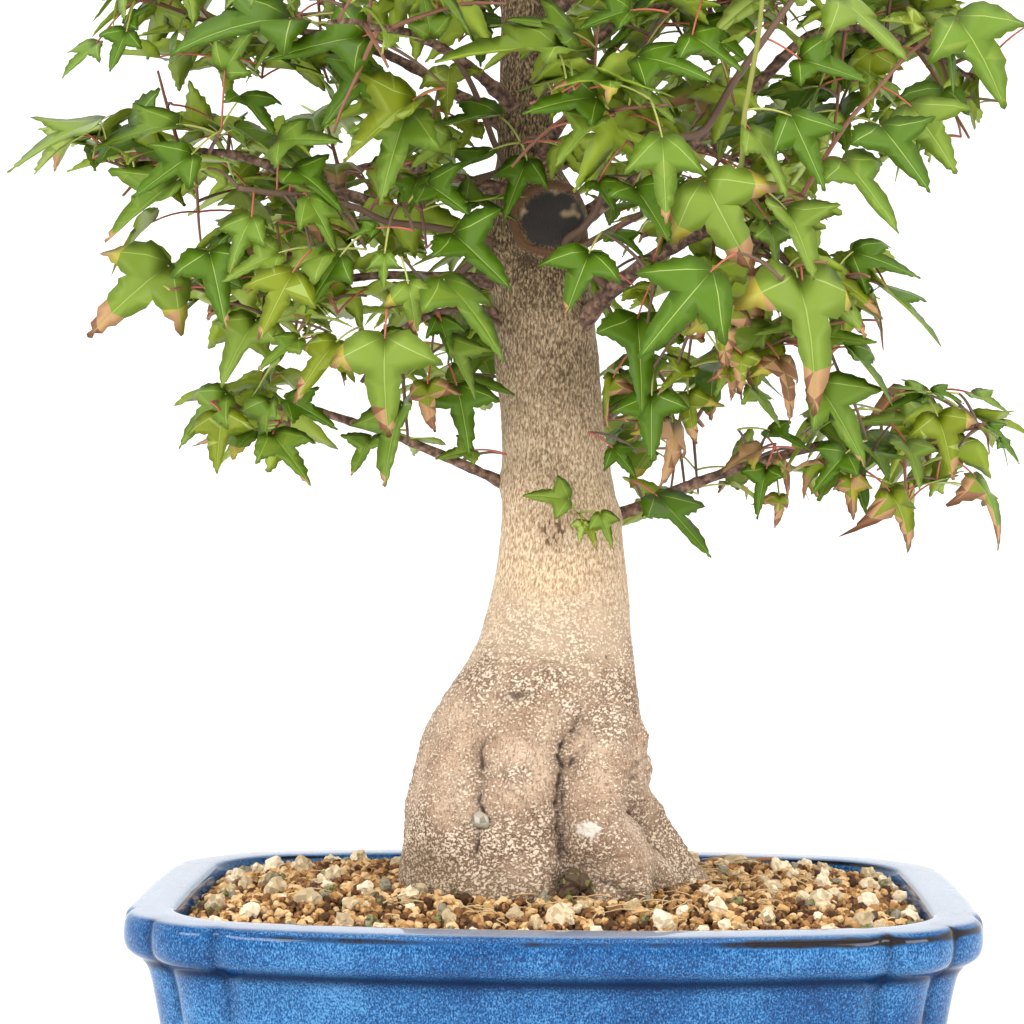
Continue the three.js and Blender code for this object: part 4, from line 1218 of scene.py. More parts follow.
# light is a painted sheen on upturned leaves; lime is partly the leaves' own yellow-green, partly painted
# glow of light shining through them; under is a pale underside brightened with that painted glow.
LEAF_TONES = {
    "deep": (76, 107, 12), "green": (99, 126, 34), "middle": (112, 134, 42), "light": (142, 158, 72),
    "lime": (114, 126, 18), "yellow": (166, 152, 58), "tan": (170, 130, 90), "brown": (126, 86, 58),
    "vein": (146, 164, 84), "under": (138, 157, 46),
}
TONE_NUMBER = {name: number for number, name in enumerate(LEAF_TONES)}
# The greens dealt to sprays include light, a painted sheen, and lime, partly painted glow.
GREENS = ["deep", "green", "middle", "light", "lime"]
STALK_TONES = {"red": (172, 90, 70), "green": (160, 164, 80)}
TWIG_TONES = {"brown": (98, 74, 58), "red": (132, 88, 68), "green": (124, 128, 50)}
# Half a leaf, over its length: places along the midrib and out from it. The rim's points come first, then
# those of the upper face's ribs, then those of the lower face.
LEAF_RIM = {
    "l1": (-0.03, 0.08), "l2": (-0.01, 0.19), "l3": (0.07, 0.31), "l4": (0.17, 0.41), "l5": (0.29, 0.49),
    "t": (0.41, 0.57), "u1": (0.385, 0.44), "u2": (0.39, 0.31), "n": (0.38, 0.17), "c1": (0.51, 0.16),
    "c2": (0.66, 0.132), "c3": (0.82, 0.078), "c4": (0.925, 0.03),
}
LEAF_UPPER = {
    "e1": (0.28, 0.006), "e2": (0.50, 0.005), "e3": (0.70, 0.004), "e4": (0.88, 0.003),
    "w1": (0.144, 0.191), "w2": (0.286, 0.391), "v1": (0.136, 0.197), "v2": (0.280, 0.396),
}
LEAF_LOWER = {"g1": (0.140, 0.194), "g2": (0.283, 0.393)}
LEAF_SPINE = {"k1": 0.28, "k2": 0.50, "k3": 0.70, "k4": 0.88}
UPPER_FACES = {
    "vein": "b k1 e1, k1 k2 e2 e1, k2 k3 e3 e2, k3 k4 e4 e3, k4 z e4, b w1 v1, w1 w2 v2 v1, w2 t v2",
    "inner": "b e1 w1, e1 w2 w1, e1 e2 n, b v1 l2 l1, v1 l3 l2",
    "lobe": "e1 n u2 w2, v1 v2 l4 l3",
    "lobe_tip": "w2 u2 u1 t, v2 l5 l4, v2 t l5",
    "far": "e2 c1 n, e2 e3 c2 c1",
    "end": "e3 e4 c3 c2",
    "point": "e4 c4 c3, e4 z c4",
}
LOWER_FACES = {
    "below": "b d1 g1, d1 g2 g1, d1 n u2 g2, d1 d2 n, b g1 l2 l1, g1 l3 l2, g1 g2 l4 l3, d2 c1 n, "
             "d2 d3 c2 c1",
    "below_tip": "g2 u2 u1 t, g2 l5 l4, g2 t l5, d3 d4 c3 c2, d4 c4 c3, d4 z c4",
}
LEAF_BENDS = {  # least and most of each way in which a leaf differs from the flat one
    "fold": (0, 0.5), "sag": (0.06, 0.51), "twist": (-0.35, 0.35), "curl": (-0.1, 0.3), "phase": (0, 6),
    "broad": (0.72, 1.04), "sweep": (-0.15, 0.5),
}
WITHERED_SAG = 0.3  # what each step of scorch past the first adds
WITHERED_CURL = 0.4
LEAF_WAVE = 0.07  # height and pace of the waves along a leaf's edges
LEAF_WAVE_PACE = 9
HANDS = ((1, ""), (-1, "-"))  # a leaf's halves, with what marks the names of their points
LEAF_THICK = 0.012
LEAF_TOOTH = 0.019  # how far a tooth stands out, over the leaf's length
LEAF_RAGGED = 0.012  # how far a rim point strays, over the leaf's length
# Leaves that stand out from the front: where the base and the tip show in the photograph, how far behind the
# trunk's middle the base lies, how far the face is turned up in degrees, the tone, and the scorch, 0 to 3.
FRONT_LEAVES = [
    (127, 30, 109, 71, -40, 10, "deep", 0), (98, 42, 60, 76, -30, 50, "green", 0),
    (124, 24, 160, -4, -35, 45, "deep", 0), (294, 18, 168, 23, -60, 55, "deep", 0),
    (224, 72, 250, 27, -56, 15, "green", 0), (367, 36, 261, 51, -70, 35, "deep", 0),
    (240, 96, 276, 134, -50, 58, "deep", 0), (278, 140, 341, 135, -60, 45, "green", 0),
    (375, 66, 317, 124, -60, 25, "deep", 0), (416, 98, 338, 155, -78, 45, "lime", 1),
    (408, 108, 377, 194, -70, 10, "green", 0), (180, 124, 84, 136, -45, 60, "green", 0),
    (104, 118, 0, 157, -40, 70, "middle", 0), (194, 153, 132, 196, -60, 20, "deep", 0),
    (180, 178, 101, 237, -55, 45, "green", 1), (292, 168, 346, 201, -64, 45, "deep", 0),
    (307, 196, 343, 254, -72, 35, "green", 1), (253, 215, 220, 273, -66, 35, "green", 1),
    (171, 263, 87, 325, -50, 10, "middle", 2), (209, 250, 227, 322, -62, 15, "deep", 1),
    (281, 252, 219, 279, -70, 40, "middle", 0), (331, 251, 241, 284, -74, 58, "middle", 1),
    (294, 270, 258, 337, -80, 20, "lime", 1), (341, 255, 304, 313, -76, 25, "deep", 0),
    (377, 228, 344, 236, -80, 45, "deep", 0), (385, 252, 381, 291, -84, 20, "green", 0),
    (408, 282, 418, 336, -88, 5, "middle", 2), (441, 277, 516, 346, -78, 58, "green", 0),
    (426, 183, 470, 210, -60, 30, "deep", 0), (452, 232, 512, 287, -66, 25, "deep", 0),
    (528, 158, 503, 217, -40, 20, "deep", 0), (431, 38, 424, -14, -70, 20, "green", 0),
    (564, 52, 437, 38, -84, 62, "middle", 0), (576, 34, 512, 6, -70, 50, "green", 0),
    (632, 10, 574, 24, -78, 35, "deep", 0), (598, 97, 525, 103, -84, 35, "deep", 0),
    (597, 181, 617, 210, -60, 30, "deep", 0),
    (598, 118, 548, 158, -86, 60, "middle", 0), (636, 56, 714, 68, -84, 45, "deep", 0),
    (690, 34, 745, 70, -80, 40, "deep", 0), (662, 134, 667, 224, -96, 10, "green", 1),
    (703, 178, 752, 274, -92, -10, "middle", 2), (713, 269, 640, 354, -104, 5, "deep", 0),
    (718, 300, 736, 368, -96, 15, "lime", 3), (590, 251, 566, 313, -84, 10, "deep", 1),
    (634, 186, 672, 238, -84, 30, "deep", 0), (748, 127, 799, 190, -90, 60, "middle", 0),
    (798, 59, 868, 78, -70, 25, "deep", 0), (790, 113, 826, 190, -86, 15, "deep", 0),
    (838, -4, 911, 60, -60, 58, "middle", 0), (926, 26, 880, 14, -40, 40, "lime", 0),
    (956, 16, 1016, 96, -40, 25, "green", 0), (946, 30, 959, 93, -40, 60, "deep", 0),
    (909, 104, 958, 166, -50, 10, "middle", 0), (879, 124, 932, 188, -62, 30, "deep", 0),
    (872, 50, 861, 121, -30, 40, "lime", 0), (842, 158, 905, 226, -72, 40, "green", 0),
    (850, 251, 922, 272, -64, 35, "deep", 0), (824, 271, 892, 306, -72, 40, "lime", 2),
    (796, 273, 838, 402, -90, 30, "middle", 2), (770, 222, 783, 281, -86, 40, "green", 1),
    (785, 207, 822, 271, -84, 40, "middle", 0), (257, 318, 213, 381, -50, 40, "middle", 0),
    (300, 338, 252, 364, -70, 50, "green", 1), (338, 340, 289, 393, -76, 20, "lime", 2),
    (385, 335, 380, 438, -90, 15, "middle", 2), (456, 383, 473, 450, -50, 20, "deep", 0),
    (445, 335, 481, 396, -60, 62, "middle", 0), (437, 316, 458, 358, -60, 45, "deep", 0),
    (428, 382, 424, 428, -60, 25, "lime", 3), (474, 450, 435, 458, -30, 45, "middle", 0),
    (403, 402, 374, 482, -40, 60, "green", 1), (372, 436, 350, 474, -30, 40, "green", 1),
    (228, 392, 172, 443, -30, 40, "green", 0), (223, 412, 213, 471, -34, 25, "lime", 0),
    (271, 398, 256, 454, -36, 40, "green", 0), (285, 399, 340, 425, -40, 40, "deep", 0),
    (271, 432, 311, 482, -36, 30, "green", 1), (637, 315, 645, 409, -60, 12, "deep", 0),
    (652, 393, 650, 461, -60, 20, "deep", 0), (672, 420, 682, 482, -50, 50, "tan", 3),
    (688, 392, 689, 441, -56, 30, "lime", 2), (614, 376, 591, 430, -40, 60, "lime", 3),
    (612, 447, 637, 475, -30, 20, "deep", 0), (742, 352, 738, 394, -90, 15, "lime", 3),
    (778, 357, 804, 412, -84, 40, "brown", 3), (750, 386, 784, 425, -60, 65, "middle", 0),
    (814, 336, 876, 338, -60, 45, "green", 0), (845, 345, 902, 399, -60, 68, "deep", 0),
    (806, 328, 752, 332, -92, 60, "middle", 0), (655, 494, 714, 555, -30, 56, "deep", 0),
    (762, 449, 716, 465, -30, 56, "tan", 2), (768, 430, 812, 447, -40, 48, "deep", 0),
    (767, 467, 754, 518, -34, 25, "deep", 0), (847, 452, 812, 492, -40, 15, "deep", 0),
    (779, 494, 782, 526, -26, 20, "lime", 3), (851, 476, 851, 520, -30, 15, "yellow", 3),
    (888, 489, 928, 544, -34, 35, "lime", 3), (816, 381, 871, 464, -60, 25, "green", 1),
    (937, 414, 960, 475, -40, 10, "lime", 2), (905, 440, 928, 484, -30, 45, "middle", 0),
    (974, 475, 1024, 537, -30, 60, "green", 3), (925, 395, 882, 411, -36, 58, "deep", 0),
    (930, 392, 966, 399, -36, 60, "deep", 0), (925, 391, 889, 386, -36, 60, "green", 0),
    (971, 393, 1013, 412, -30, 62, "green", 0), (986, 424, 1014, 443, -30, 50, "deep", 0),
    (998, 440, 1023, 461, -30, 60, "deep", 0), (449, 66, 446, 119, -30, 20, "lime", 1),
    (503, 115, 414, 128, -36, 62, "deep", 0), (452, 137, 408, 166, -50, 20, "middle", 0),
    (478, 122, 452, 153, -28, 20, "lime", 1), (492, 150, 425, 184, -48, 62, "deep", 0),
    (613, 231, 649, 254, -56, 55, "deep", 0), (652, 262, 660, 298, -56, 60, "middle", 0),
    (634, 286, 656, 313, -50, 20, "lime", 0), (872, 281, 952, 333, -60, 82, "deep", 0),
    (806, 270, 877, 328, -80, 35, "middle", 2), (728, 366, 738, 397, -80, 30, "brown", 3),
    (704, 338, 683, 337, -70, 30, "tan", 0), (692, 367, 656, 389, -60, 40, "lime", 1),
    (781, 458, 798, 497, -30, 50, "brown", 3), (641, 412, 643, 442, -50, 40, "brown", 3),
]
LOW_TOP = 345  # height up to which a front leaf belongs to the lower leaves, and the masses that do
LOW_MASSES = 11
FRONT_LEAN = (0.1, 0.7)  # how far a front leaf's tip leans to the viewer, over the length that shows
FRONT_RIBS = ((0, 0), (0.3, 0), (0.6, 0), (0.9, 0), (0.35, 0.3), (0.35, -0.3))  # spots kept in view
FRONT_MARGIN = 13  # pixels round a front leaf's ribs that nothing nearer hides
FRONT_SLACK = 4  # how far behind them a thing still counts as nearer
STALK_REACH = 22
STALK_BACKWARD = 1.5  # how much longer a stalk counts for each step that it runs back along its leaf
# Shoots and branchlets that show between the leaves: radius, tone, and pixels along them with their depth.
FRONT_TWIGS = [
    (1.1, "green", [(733, 178, -88), (745, 110, -94), (757, 45, -96), (763, -8, -96)]),
    (1.6, "brown", [(704, 130, -60), (735, 80, -66), (765, 38, -72), (792, 0, -74)]),
    (1.5, "brown", [(503, 168, -14), (493, 140, -24), (473, 88, -34), (451, 50, -40)]),
    (0.9, "red", [(845, 126, -50), (875, 92, -46), (904, 59, -42), (938, 30, -40)]),
    (0.9, "brown", [(500, 324, -12), (470, 312, -40), (437, 310, -60)]),
    (1.6, "brown", [(490, 243, -14), (457, 232, -26), (424, 226, -36), (385, 221, -44), (359, 209, -50),
                    (310, 196, -56), (271, 193, -58), (238, 188, -60)]),
    (1.8, "brown", [(566, 247, -20), (583, 228, -26), (598, 207, -30), (606, 178, -32)]),
    (1.6, "brown", [(562, 256, -20), (585, 245, -26), (610, 231, -32), (642, 214, -38)]),
]
# Where the sky shows through the crown: middle and radius in the photograph.
SKY = [
    (25, 40, 50), (75, 90, 24), (25, 225, 62), (80, 195, 34), (198, 92, 24), (252, 120, 12),
    (296, 96, 22), (30, 330, 55), (110, 385, 50), (172, 338, 32), (80, 470, 85), (235, 375, 12),
    (330, 408, 22), (425, 412, 16), (420, 476, 24), (300, 560, 76), (170, 222, 14), (215, 345, 12),
    (350, 162, 12), (470, 180, 8), (350, 300, 8), (445, 205, 7), (320, 140, 8), (120, 90, 14),
    (1000, 150, 30), (985, 215, 62), (1000, 320, 62), (955, 335, 35), (925, 78, 12), (890, 90, 8),
    (880, 368, 18), (900, 345, 20), (800, 332, 10), (820, 350, 16), (768, 378, 14), (730, 405, 26),
    (685, 442, 30), (640, 470, 18), (720, 535, 30), (790, 560, 40), (700, 80, 8), (760, 120, 8),
    (895, 215, 18), (1020, 455, 14), (950, 510, 16), (820, 530, 24), (340, 104, 7), (180, 240, 8),
    (244, 302, 8), (328, 328, 10), (478, 200, 8), (476, 266, 8), (470, 302, 11), (357, 248, 5),
    (780, 45, 14), (832, 94, 12), (848, 110, 8), (908, 80, 14), (968, 70, 9), (1000, 118, 12),
    (1018, 112, 14), (868, 150, 9), (866, 238, 10), (636, 231, 7), (596, 226, 7), (603, 304, 8),
    (706, 248, 8), (735, 42, 7), (606, 362, 7), (965, 490, 14), (930, 500, 10), (985, 530, 18),
    (870, 545, 22), (900, 560, 16), (760, 545, 20), (690, 570, 30), (1005, -4, 12), (600, 400, 6),
    (440, 400, 10), (395, 395, 8), (655, 480, 8), (710, 480, 6), (345, 150, 16), (362, 182, 12),
    (1015, 40, 22), (1020, 84, 24), (985, 130, 15), (950, 80, 8), (715, 450, 22), (746, 440, 12),
    (690, 460, 14), (850, 362, 14), (802, 350, 10), (800, 376, 10), (1016, 398, 12), (1018, 430, 8),
    (190, 388, 14), (214, 362, 10), (446, 350, 9), (470, 420, 12), (612, 345, 7), (610, 380, 7),
    (486, 225, 8), (85, 4, 14), (900, 425, 9), (880, 428, 10), (985, 452, 13), (1010, 480, 14),
    (140, 205, 14), (150, 190, 10), (270, 115, 12), (232, 112, 10), (860, 90, 8), (845, 210, 8),
    (870, 215, 9), (912, 160, 9), (640, 425, 10), (665, 405, 8), (705, 425, 14), (945, 60, 8),
    (806, 66, 9), (870, 235, 14), (850, 238, 10), (715, 255, 10), (775, 283, 6), (440, 345, 11),
    (475, 338, 11), (430, 231, 8), (448, 222, 7), (300, 165, 7), (265, 152, 7), (225, 240, 7),
    (150, 312, 9), (190, 322, 7), (120, 152, 8), (148, 98, 10), (868, 402, 10), (815, 406, 10),
    (905, 520, 8), (385, 140, 8),
]
# What shows between the leaves: pixels along the sawn scar, the trunk and the largest boughs, with their
# depth.
OPEN_VIEWS = [
    (540, 205, -17), (565, 205, -17), (552, 225, -17), (535, 240, -17), (570, 245, -17), (545, 290, -17),
    (545, 330, -17), (545, 370, -17), (520, 350, -15), (575, 390, -15), (575, 330, -30), (600, 292, -36),
    (640, 262, -44), (690, 238, -50), (350, 206, -10), (310, 195, -10), (280, 188, -10), (515, 70, -10),
    (530, 110, -10), (520, 150, -10), (535, 40, -10), (430, 450, -8), (470, 468, -8), (650, 500, -6),
    (545, 130, -10), (540, 160, -10), (512, 125, -10), (506, 160, -10), (700, 490, -6), (390, 440, -8),
    (350, 433, -8), (300, 425, -8),
]
# Young leaves on a bud that breaks from the trunk: base and tip in the photograph, face, tone and scorch.
SPROUT_PLACE = (577, 514)
SPROUT_HEIGHT = 205.0
SPROUT_OUT = (8, 12)  # how far out of the bark the bases and the tips stand
SPROUT_LEAVES = [
    (570, 499, 523, 492, 20, "middle", 0), (588, 522, 597, 549, 15, "lime", 2),
    (582, 520, 579, 543, 30, "light", 2), (600, 512, 614, 548, 40, "middle", 0),
]


def toothed_rim():
    """Half a leaf's rim points with a tooth on each stretch between them, and the tooth of each stretch."""
    rim = {"b": (0, 0), **LEAF_RIM, "z": (1, 0)}
    teeth, stretches = {}, {}
    for (start, place), (end, target) in zip(rim.items(), list(rim.items())[1:]):
        run = np.subtract(target, place)
        out = np.array([-run[1], run[0]]) / np.linalg.norm(run)
        teeth[start + end] = tuple(np.add(place, 0.6 * run) + LEAF_TOOTH * out)
        stretches[start, end] = start + end
    return LEAF_RIM | teeth, stretches


def split(corners, stretches):
    """A triangle of the leaf cut wherever one of its sides carries a tooth."""
    for turn in range(3):
        start, end, far = corners[turn:] + corners[:turn]
        tooth = stretches.get((start, end)) or stretches.get((end, start))
        if tooth:
            return split((start, tooth, far), stretches) + split((tooth, end, far), stretches)
    return [corners]


def leaf_template():
    """Flat points (along, out, which face), and the corners and the kind and hand of each face, of a leaf."""
    rim, stretches = toothed_rim()
    flat = {"b": (0, 0, 0), "z": (1, 0, 0)}
    for point, along in LEAF_SPINE.items():
        flat[point] = (along, 0, 0.6)
        flat["d" + point[1]] = (along, 0, -1)
    for hand, mark in HANDS:
        for table, layer in ((rim, 0), (LEAF_UPPER, 1), (LEAF_LOWER, -1)):
            for point, (along, out) in table.items():
                flat[mark + point] = (along, hand * out, layer)
    order = {point: number for number, point in enumerate(flat)}
    faces, kinds = [], []
    for table, upward in ((UPPER_FACES, True), (LOWER_FACES, False)):
        for kind, listing in table.items():
            for face in listing.split(", "):
                first, *others = face.split()
                fan = [(first, second, third) for second, third in zip(others, others[1:])]
                for triangle in [part for whole in fan for part in split(whole, stretches)]:
                    for hand, mark in HANDS:
                        corners = [order.get(mark + point, order.get(point)) for point in triangle]
                        faces.append(corners if (hand > 0) == upward else corners[::-1])
                        kinds.append((kind, hand))
    return np.array(list(flat.values())), faces, kinds


LEAF_FLAT, LEAF_FACES, LEAF_KINDS = leaf_template()
on_rim = (LEAF_FLAT[:, 2] == 0)[:, None]
rag_draw = np.random.default_rng(29)


def leaf_points(base, way, crown, length, fold, sag, twist, curl, phase, broad, sweep):
    """A leaf's points: folded along its midrib, bent over its length, twisted and wavy at the edges."""
    along, out, layer = LEAF_FLAT.T
    strays = LEAF_RAGGED * on_rim * rag_draw.uniform(-1, 1, (len(LEAF_FLAT), 2))
    along = along + strays[:, 0] - sweep * np.maximum(np.abs(out) - 0.12, 0)
    out = broad * out + strays[:, 1] * (out != 0)
    away = np.abs(out)
    rise = fold * away - curl * np.maximum(away - 0.15, 0) ** 2 * 5
    wave = LEAF_WAVE * away * np.sin(LEAF_WAVE_PACE * along + phase + 2 * np.sign(out))
    rise = rise + wave + LEAF_THICK * layer * 0.5
    turn = twist * along
    side_part = out * np.cos(turn) - rise * np.sin(turn)
    up_part = out * np.sin(turn) + rise * np.cos(turn)
    bow = sag * along
    forward = np.sin(bow) / sag + up_part * np.sin(bow)
    upward = (np.cos(bow) - 1) / sag + up_part * np.cos(bow)
    side = np.cross(crown, way)
    return base + length * (np.outer(forward, way) + np.outer(side_part, side) + np.outer(upward, crown))


def seeded(seed):
    """A repeatable stream of numbers from 0 to 1."""
    state = seed

    def draw():
        nonlocal state
        state = (state * 1664525 + 1013904223) & 0xFFFFFFFF
        return state / 2**32

    return draw


def between(limits, share):
    return limits[0] + (limits[1] - limits[0]) * share


FRAME_SIDE = 1024  # pixels across the photograph
FOCAL = CAMERA_LENS / CAMERA_SENSOR * FRAME_SIDE
EYE = np.array(CAMERA_PLACE) / MM
EYE_AXES = np.array([right, right.cross(CAMERA_AHEAD), CAMERA_AHEAD])


def seen_place(x, y, depth):
    """The place at some depth that shows at a pixel of the photograph."""
    ray = np.array([(x - FRAME_SIDE / 2) / FOCAL, (FRAME_SIDE / 2 - y) / FOCAL, 1]) @ EYE_AXES
    return EYE + ray * (depth - EYE[1]) / ray[1]


def seen_pixels(spots):
    """Where places show in the photograph."""
    off = (spots - EYE) @ EYE_AXES.T
    return FRAME_SIDE / 2 + FOCAL * off[:, :2] / off[:, 2:] * (1, -1)


CROWN_LOW = np.array(cad_low) / MM
CROWN_HIGH = np.array(cad_high) / MM
mass_centres = np.array([mass.centre for mass in masses])
mass_weights = np.array([mass.weight for mass in masses])
sky = np.array(SKY, float)


def fits(number, spots):
    """Whether all the spots lie in a mass's own part of the crown, off the trunk and off the sky."""
    mass = masses[number]
    off = spots - mass.centre
    shares = np.stack([off @ mass.along, off @ mass.across, off[:, 2]], axis=1) / mass.size
    if (np.linalg.norm(shares, axis=1) > 1).any():
        return False
    powers = ((spots[:, None] - mass_centres) ** 2).sum(axis=2) - mass_weights
    leeway = 2 * BORDER_CROSSING * np.linalg.norm(mass_centres - mass.centre, axis=1)
    if (powers[:, number, None] > powers + leeway).any():
        return False
    if (spots < CROWN_LOW).any() or (spots > CROWN_HIGH).any():
        return False
    drift, radius = trunk_shape(np.minimum(spots[:, 2], TRUNK_TIP))
    if (np.hypot(spots[:, 0] - drift, spots[:, 1]) < radius + TRUNK_CLEAR).any():
        return False
    apart = np.linalg.norm(seen_pixels(spots)[:, None] - sky[:, :2], axis=2)
    return not (apart < sky[:, 2]).any()


SCORCHES = [  # the tones that a leaf's parts take, from fresh to withered
    {},
    {"point": "tan"},
    {"point": "brown", "end": "tan", "lobe_tip": "yellow", "below_tip": "tan"},
    {"point": "brown", "end": "brown", "far": "tan", "lobe_tip": "brown", "lobe": "tan", "inner": "lime",
     "vein": "tan", "below": "tan", "below_tip": "brown"},
]
MOTTLED = 0.12  # the share of a leaf's faces that take a neighbouring tone
MOTTLES = {
    "tan": "brown", "brown": "tan", "yellow": "tan", "lime": "light", "light": "middle", "green": "middle",
}


def dealt(green, scorch, draw):
    """The tone of each face of one leaf, and how the leaf is bent."""
    halves = {}
    for hand, _ in HANDS:
        half = dict.fromkeys(UPPER_FACES, green) | {"vein": "vein", "below": "under", "below_tip": "under"}
        half.update(SCORCHES[max(0, scorch - int(draw() < 0.5))])
        halves.update({(kind, hand): tone for kind, tone in half.items()})
    tones = []
    for kind in LEAF_KINDS:
        tone = halves[kind]
        if draw() < MOTTLED:
            tone = MOTTLES.get(tone, tone)
        tones.append(TONE_NUMBER[tone])
    bend = {name: between(limits, draw()) for name, limits in LEAF_BENDS.items()}
    bend["sag"] += WITHERED_SAG * max(0, scorch - 1)
    bend["curl"] += WITHERED_CURL * max(0, scorch - 1)
    return tones, bend


twigs, stalks = Bundle(), Bundle()
low_leaves, high_leaves = Bundle(), Bundle()
leaf_marks = []


def squared(crown, way):
    """The direction nearest to crown that stands square to way."""
    crown = crown - way * (crown @ way)
    return crown / np.linalg.norm(crown)


def put_leaf(bundle, node, base, way, crown, length, look, stalk_tone):
    tones, bend = look
    points = leaf_points(base, way, crown, length, **bend)
    bundle.take(points, LEAF_FACES, tones)
    span = np.linalg.norm(base - node)
    bow = (node + base) / 2 + (0, 0, 0.12 * span)
    path = arch(node, bow, base + 0.04 * length * way, np.linspace(0, 1, 6))
    stalks.limb(path, STALK_RADII, 5, stalk_tone)
    leaf_marks.extend([base + 0.5 * length * way, base + 0.96 * length * way])


sprays = []  # mass, path, radii, leaf joints, way out, tone and stream of draws of each twig
for number, mass in enumerate(masses):
    draw = seeded(number + 1)
    width, depth, tall = mass.size
    count = round((width * depth + depth * tall + tall * width) / 3 / SPRAY_SECTION)
    for spray in range(count):
        share = (spray + 0.5) / count
        joint = between(STEM_JOINTS, share) * (len(mass.stem_path) - 1)
        start = mass.stem_path[round(joint)]
        polar = between(SPRAY_BAND, share)
        end = None
        for attempt in range(TWIG_TRIES):
            around = GOLDEN_TURN * spray + (1 + attempt) * draw()
            reach = between(SPRAY_REACH, draw())
            ring = reach * math.sqrt(1 - polar * polar)
            target = mass.point(reach * polar, ring * math.cos(around), ring * math.sin(around))
            if fits(number, target[None]) and np.linalg.norm(target - start) > TWIG_SHORTEST:
                end = target
                break
        if end is None:
            continue
        tone = int(draw() * 4)
        spread = math.atan2(*(end - mass.centre)[1::-1])
        length = np.linalg.norm(end - start)
        bend = (start + end) / 2 + (0, 0, (0.04 + 0.16 * draw()) * length)
        path, marks = even_steps(arch(start, bend, end, np.linspace(0, 1, 24)), TWIG_STEP)
        path = wandered(path, marks, TWIG_WANDER, number * 40 + spray)
        sprays.append((number, path, TWIG_RADII, LEAF_JOINTS, spread, tone, draw))
        fork = path[round(SIDE_TWIG_AT * (len(path) - 1))]
        spread += SIDE_TWIG_TURN if spray % 2 else -SIDE_TWIG_TURN
        side_end = fork + SIDE_TWIG_SHARE * length * (heading(spread) + (0, 0, 0.5 * draw() - 0.1))
        if fits(number, side_end[None]):
            side_path = arch(fork, (fork + side_end) / 2 + (0, 0, 2), side_end, np.linspace(0, 1, 7))
            sprays.append((number, side_path, SIDE_TWIG_RADII, SIDE_JOINTS, spread, tone, draw))

wood = np.concatenate([path for _, path, *_ in sprays] + [mass.clear_path for mass in masses])
front_draw = seeded(77)
front_spots = []
front_nodes = []
twig_numbers = {name: number for number, name in enumerate(TWIG_TONES)}
for radius, tone, views in FRONT_TWIGS:
    places = np.array([seen_place(*view) for view in views])
    node = wood[np.argmin(np.linalg.norm(wood - places[0], axis=1))]
    path = smooth_line(np.concatenate([node[None], places]), 6)
    twigs.limb(path, (radius, 0.7 * radius), TWIG_SIDES, twig_numbers[tone])
    front_nodes.append(node)
    front_spots += [*path[6:]]
    wood = np.concatenate([wood, path])
for base_x, base_y, tip_x, tip_y, depth, roll, tone, scorch in FRONT_LEAVES:
    base = seen_place(base_x, base_y, depth)
    seen_length = np.linalg.norm(seen_place(tip_x, tip_y, depth) - base)
    tip = seen_place(tip_x, tip_y, depth - between(FRONT_LEAN, front_draw()) * seen_length)
    length, way = aimed(base, tip)
    facing_eye = squared(-EYE_AXES[2], way)
    upturned = np.cross(way, facing_eye)
    upturned *= 1 if upturned[2] > 0 else -1
    crown = math.cos(math.radians(roll)) * facing_eye + math.sin(math.radians(roll)) * upturned
    reach = base - wood
    backward = np.maximum(-reach @ way, 0)
    node = wood[np.argmin(np.linalg.norm(reach, axis=1) + STALK_BACKWARD * backward)]
    front_nodes.append(node)
    if np.linalg.norm(base - node) > STALK_REACH:
        end = base - 0.6 * STALK_REACH * way - (0, 0, 4)
        path = arch(node, (node + end) / 2 + (0, 0, 4), end, np.linspace(0, 1, 9))
        twigs.limb(path, SIDE_TWIG_RADII, TWIG_SIDES, 0)
        node = end
    bundle = low_leaves if base[2] < LOW_TOP else high_leaves
    look = dealt(tone, scorch, front_draw)
    put_leaf(bundle, node, base, way, crown, length, look, int(front_draw() < FRONT_GREEN_STALKS))
    side = np.cross(crown, way)
    for along, out in FRONT_RIBS:
        front_spots.append(base + length * (along * way + out * side))
front_spots += [seen_place(*view) for view in OPEN_VIEWS]
front_spots = np.array(front_spots)
front_pixels = seen_pixels(front_spots)


def hides_front(spots):
    """Whether any of the spots stands before a front leaf."""
    apart = np.linalg.norm(seen_pixels(spots)[:, None] - front_pixels, axis=2)
    return bool(((apart < FRONT_MARGIN) & (spots[:, 1, None] < front_spots[:, 1] + FRONT_SLACK)).any())


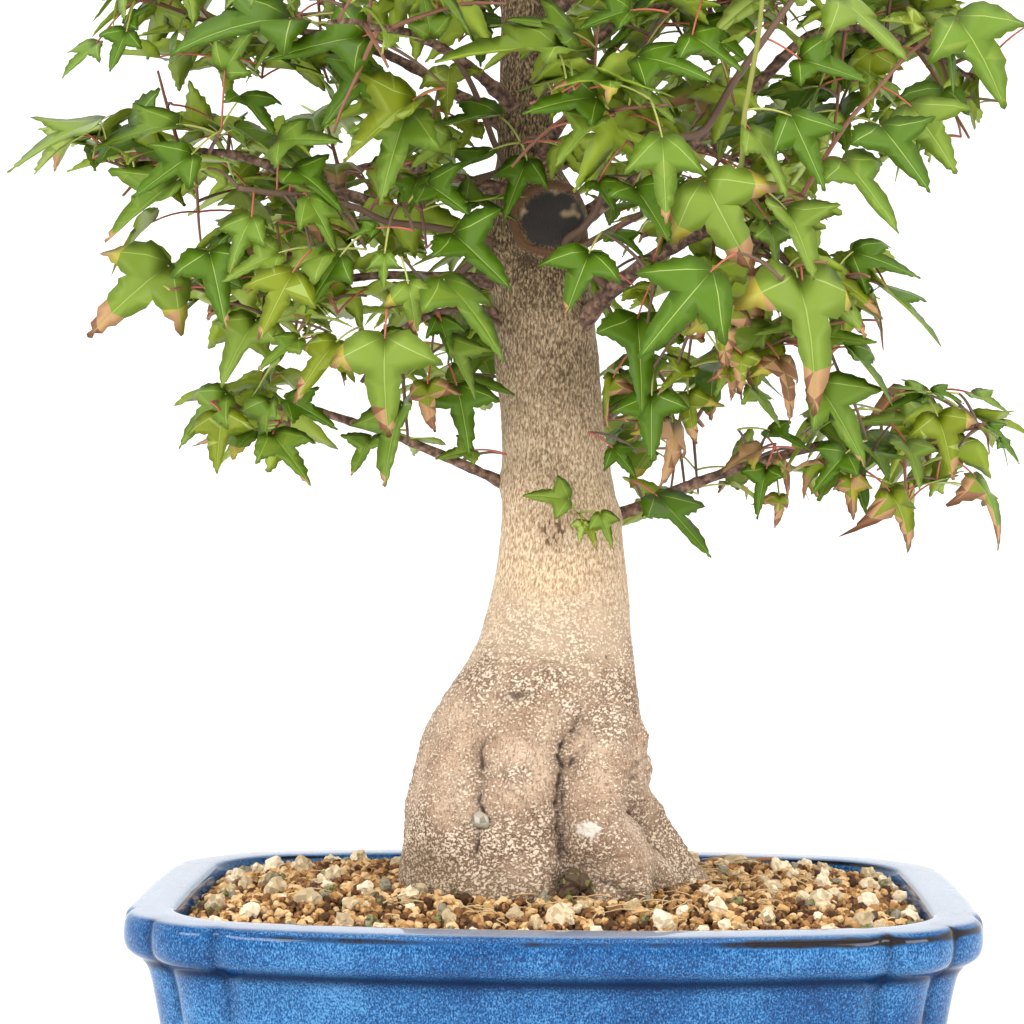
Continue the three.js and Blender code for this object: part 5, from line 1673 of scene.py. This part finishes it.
def grow_leaf(number, node, turn, draw, spray_tone, bundle):
    """One leaf on its stalk, if there is room for it."""
    mass = masses[number]
    for attempt in range(LEAF_TRIES):
        bearing = turn + LEAF_WANDER * (1 + 0.15 * attempt) * (2 * draw() - 1)
        out = heading(bearing)
        droop = between(LEAF_DROOP, draw())
        length = between(LEAF_LENGTHS, draw())
        stalk = between(STALK_LENGTHS, draw())
        lift = between(STALK_LIFT, draw())
        base = node + stalk * (math.cos(lift) * out + (0, 0, math.sin(lift)))
        way = math.cos(droop) * out - (0, 0, math.sin(droop))
        crown = np.array([0, 0, LEAF_UPWARD]) + LEAF_OUTWARD * ((base - mass.centre) / mass.size)
        crown = squared(crown + LEAF_TUMBLE * (np.array([draw(), draw(), draw()]) - 0.5), way)
        side = np.cross(crown, way)
        spots = base + length * np.array([along * way + across * side for along, across in LEAF_RIBS])
        if not fits(number, spots) or hides_front(spots):
            continue
        if np.linalg.norm(np.array(leaf_marks)[:, None] - spots[1:3], axis=2).min() < LEAF_APART:
            continue
        green = GREENS[min(4, max(0, spray_tone + int(draw() * 3) - 1))]
        scorched = draw() / WITHERED.get(mass.name, WITHERED_ELSEWHERE)
        scorch = int(np.searchsorted(SCORCH_STEPS, scorched))
        look = dealt(green, 3 - scorch, draw)
        put_leaf(bundle, node, base, way, crown, length, look, int(draw() < GREEN_STALKS))
        return True
    return False


for index, (number, path, radii, joints, spread, tone, draw) in enumerate(sprays):
    bundle = low_leaves if number < LOW_MASSES else high_leaves
    grown = [
        grow_leaf(number, path[round(at * (len(path) - 1))], spread + turn, draw, tone, bundle)
        for at, turn in joints
    ]
    if any(grown) or np.isin(path, front_nodes).all(axis=1).any():
        twigs.limb(path, radii, TWIG_SIDES, index % 2)

sprout = seen_place(*SPROUT_PLACE, -trunk_shape(np.array(SPROUT_HEIGHT))[1] * TRUNK_FLATTEN)
for base_x, base_y, tip_x, tip_y, roll, tone, scorch in SPROUT_LEAVES:
    base = seen_place(base_x, base_y, sprout[1] - SPROUT_OUT[0])
    tip = seen_place(tip_x, tip_y, sprout[1] - SPROUT_OUT[1])
    length, way = aimed(base, tip)
    crown = squared(np.array([0.0, -math.cos(math.radians(roll)), math.sin(math.radians(roll))]), way)
    put_leaf(low_leaves, sprout, base, way, crown, length, dealt(tone, scorch, front_draw), 1)

mass_nodes = [mass.name + "_leaves" for mass in masses]
twig_piece = twigs.piece("twigs", *plain_finishes("twig", TWIG_TONES, 0.7))
settle(twig_piece, mass_nodes)
stalk_piece = stalks.piece("leaf_stalks", *plain_finishes("stalk", STALK_TONES, 0.5))
settle(stalk_piece, mass_nodes)
leaf_materials = []
for name, tone in LEAF_TONES.items():
    material, shader = principled("leaf_" + name, paint(*tone), 0.45)
    shader.inputs["Specular IOR Level"].default_value = 0.25
    leaf_materials.append(material)
low_piece = low_leaves.piece("leaves_low", *leaf_materials)
settle(low_piece, mass_nodes[:LOW_MASSES])
high_piece = high_leaves.piece("leaves_high", *leaf_materials)
settle(high_piece, mass_nodes[LOW_MASSES:])
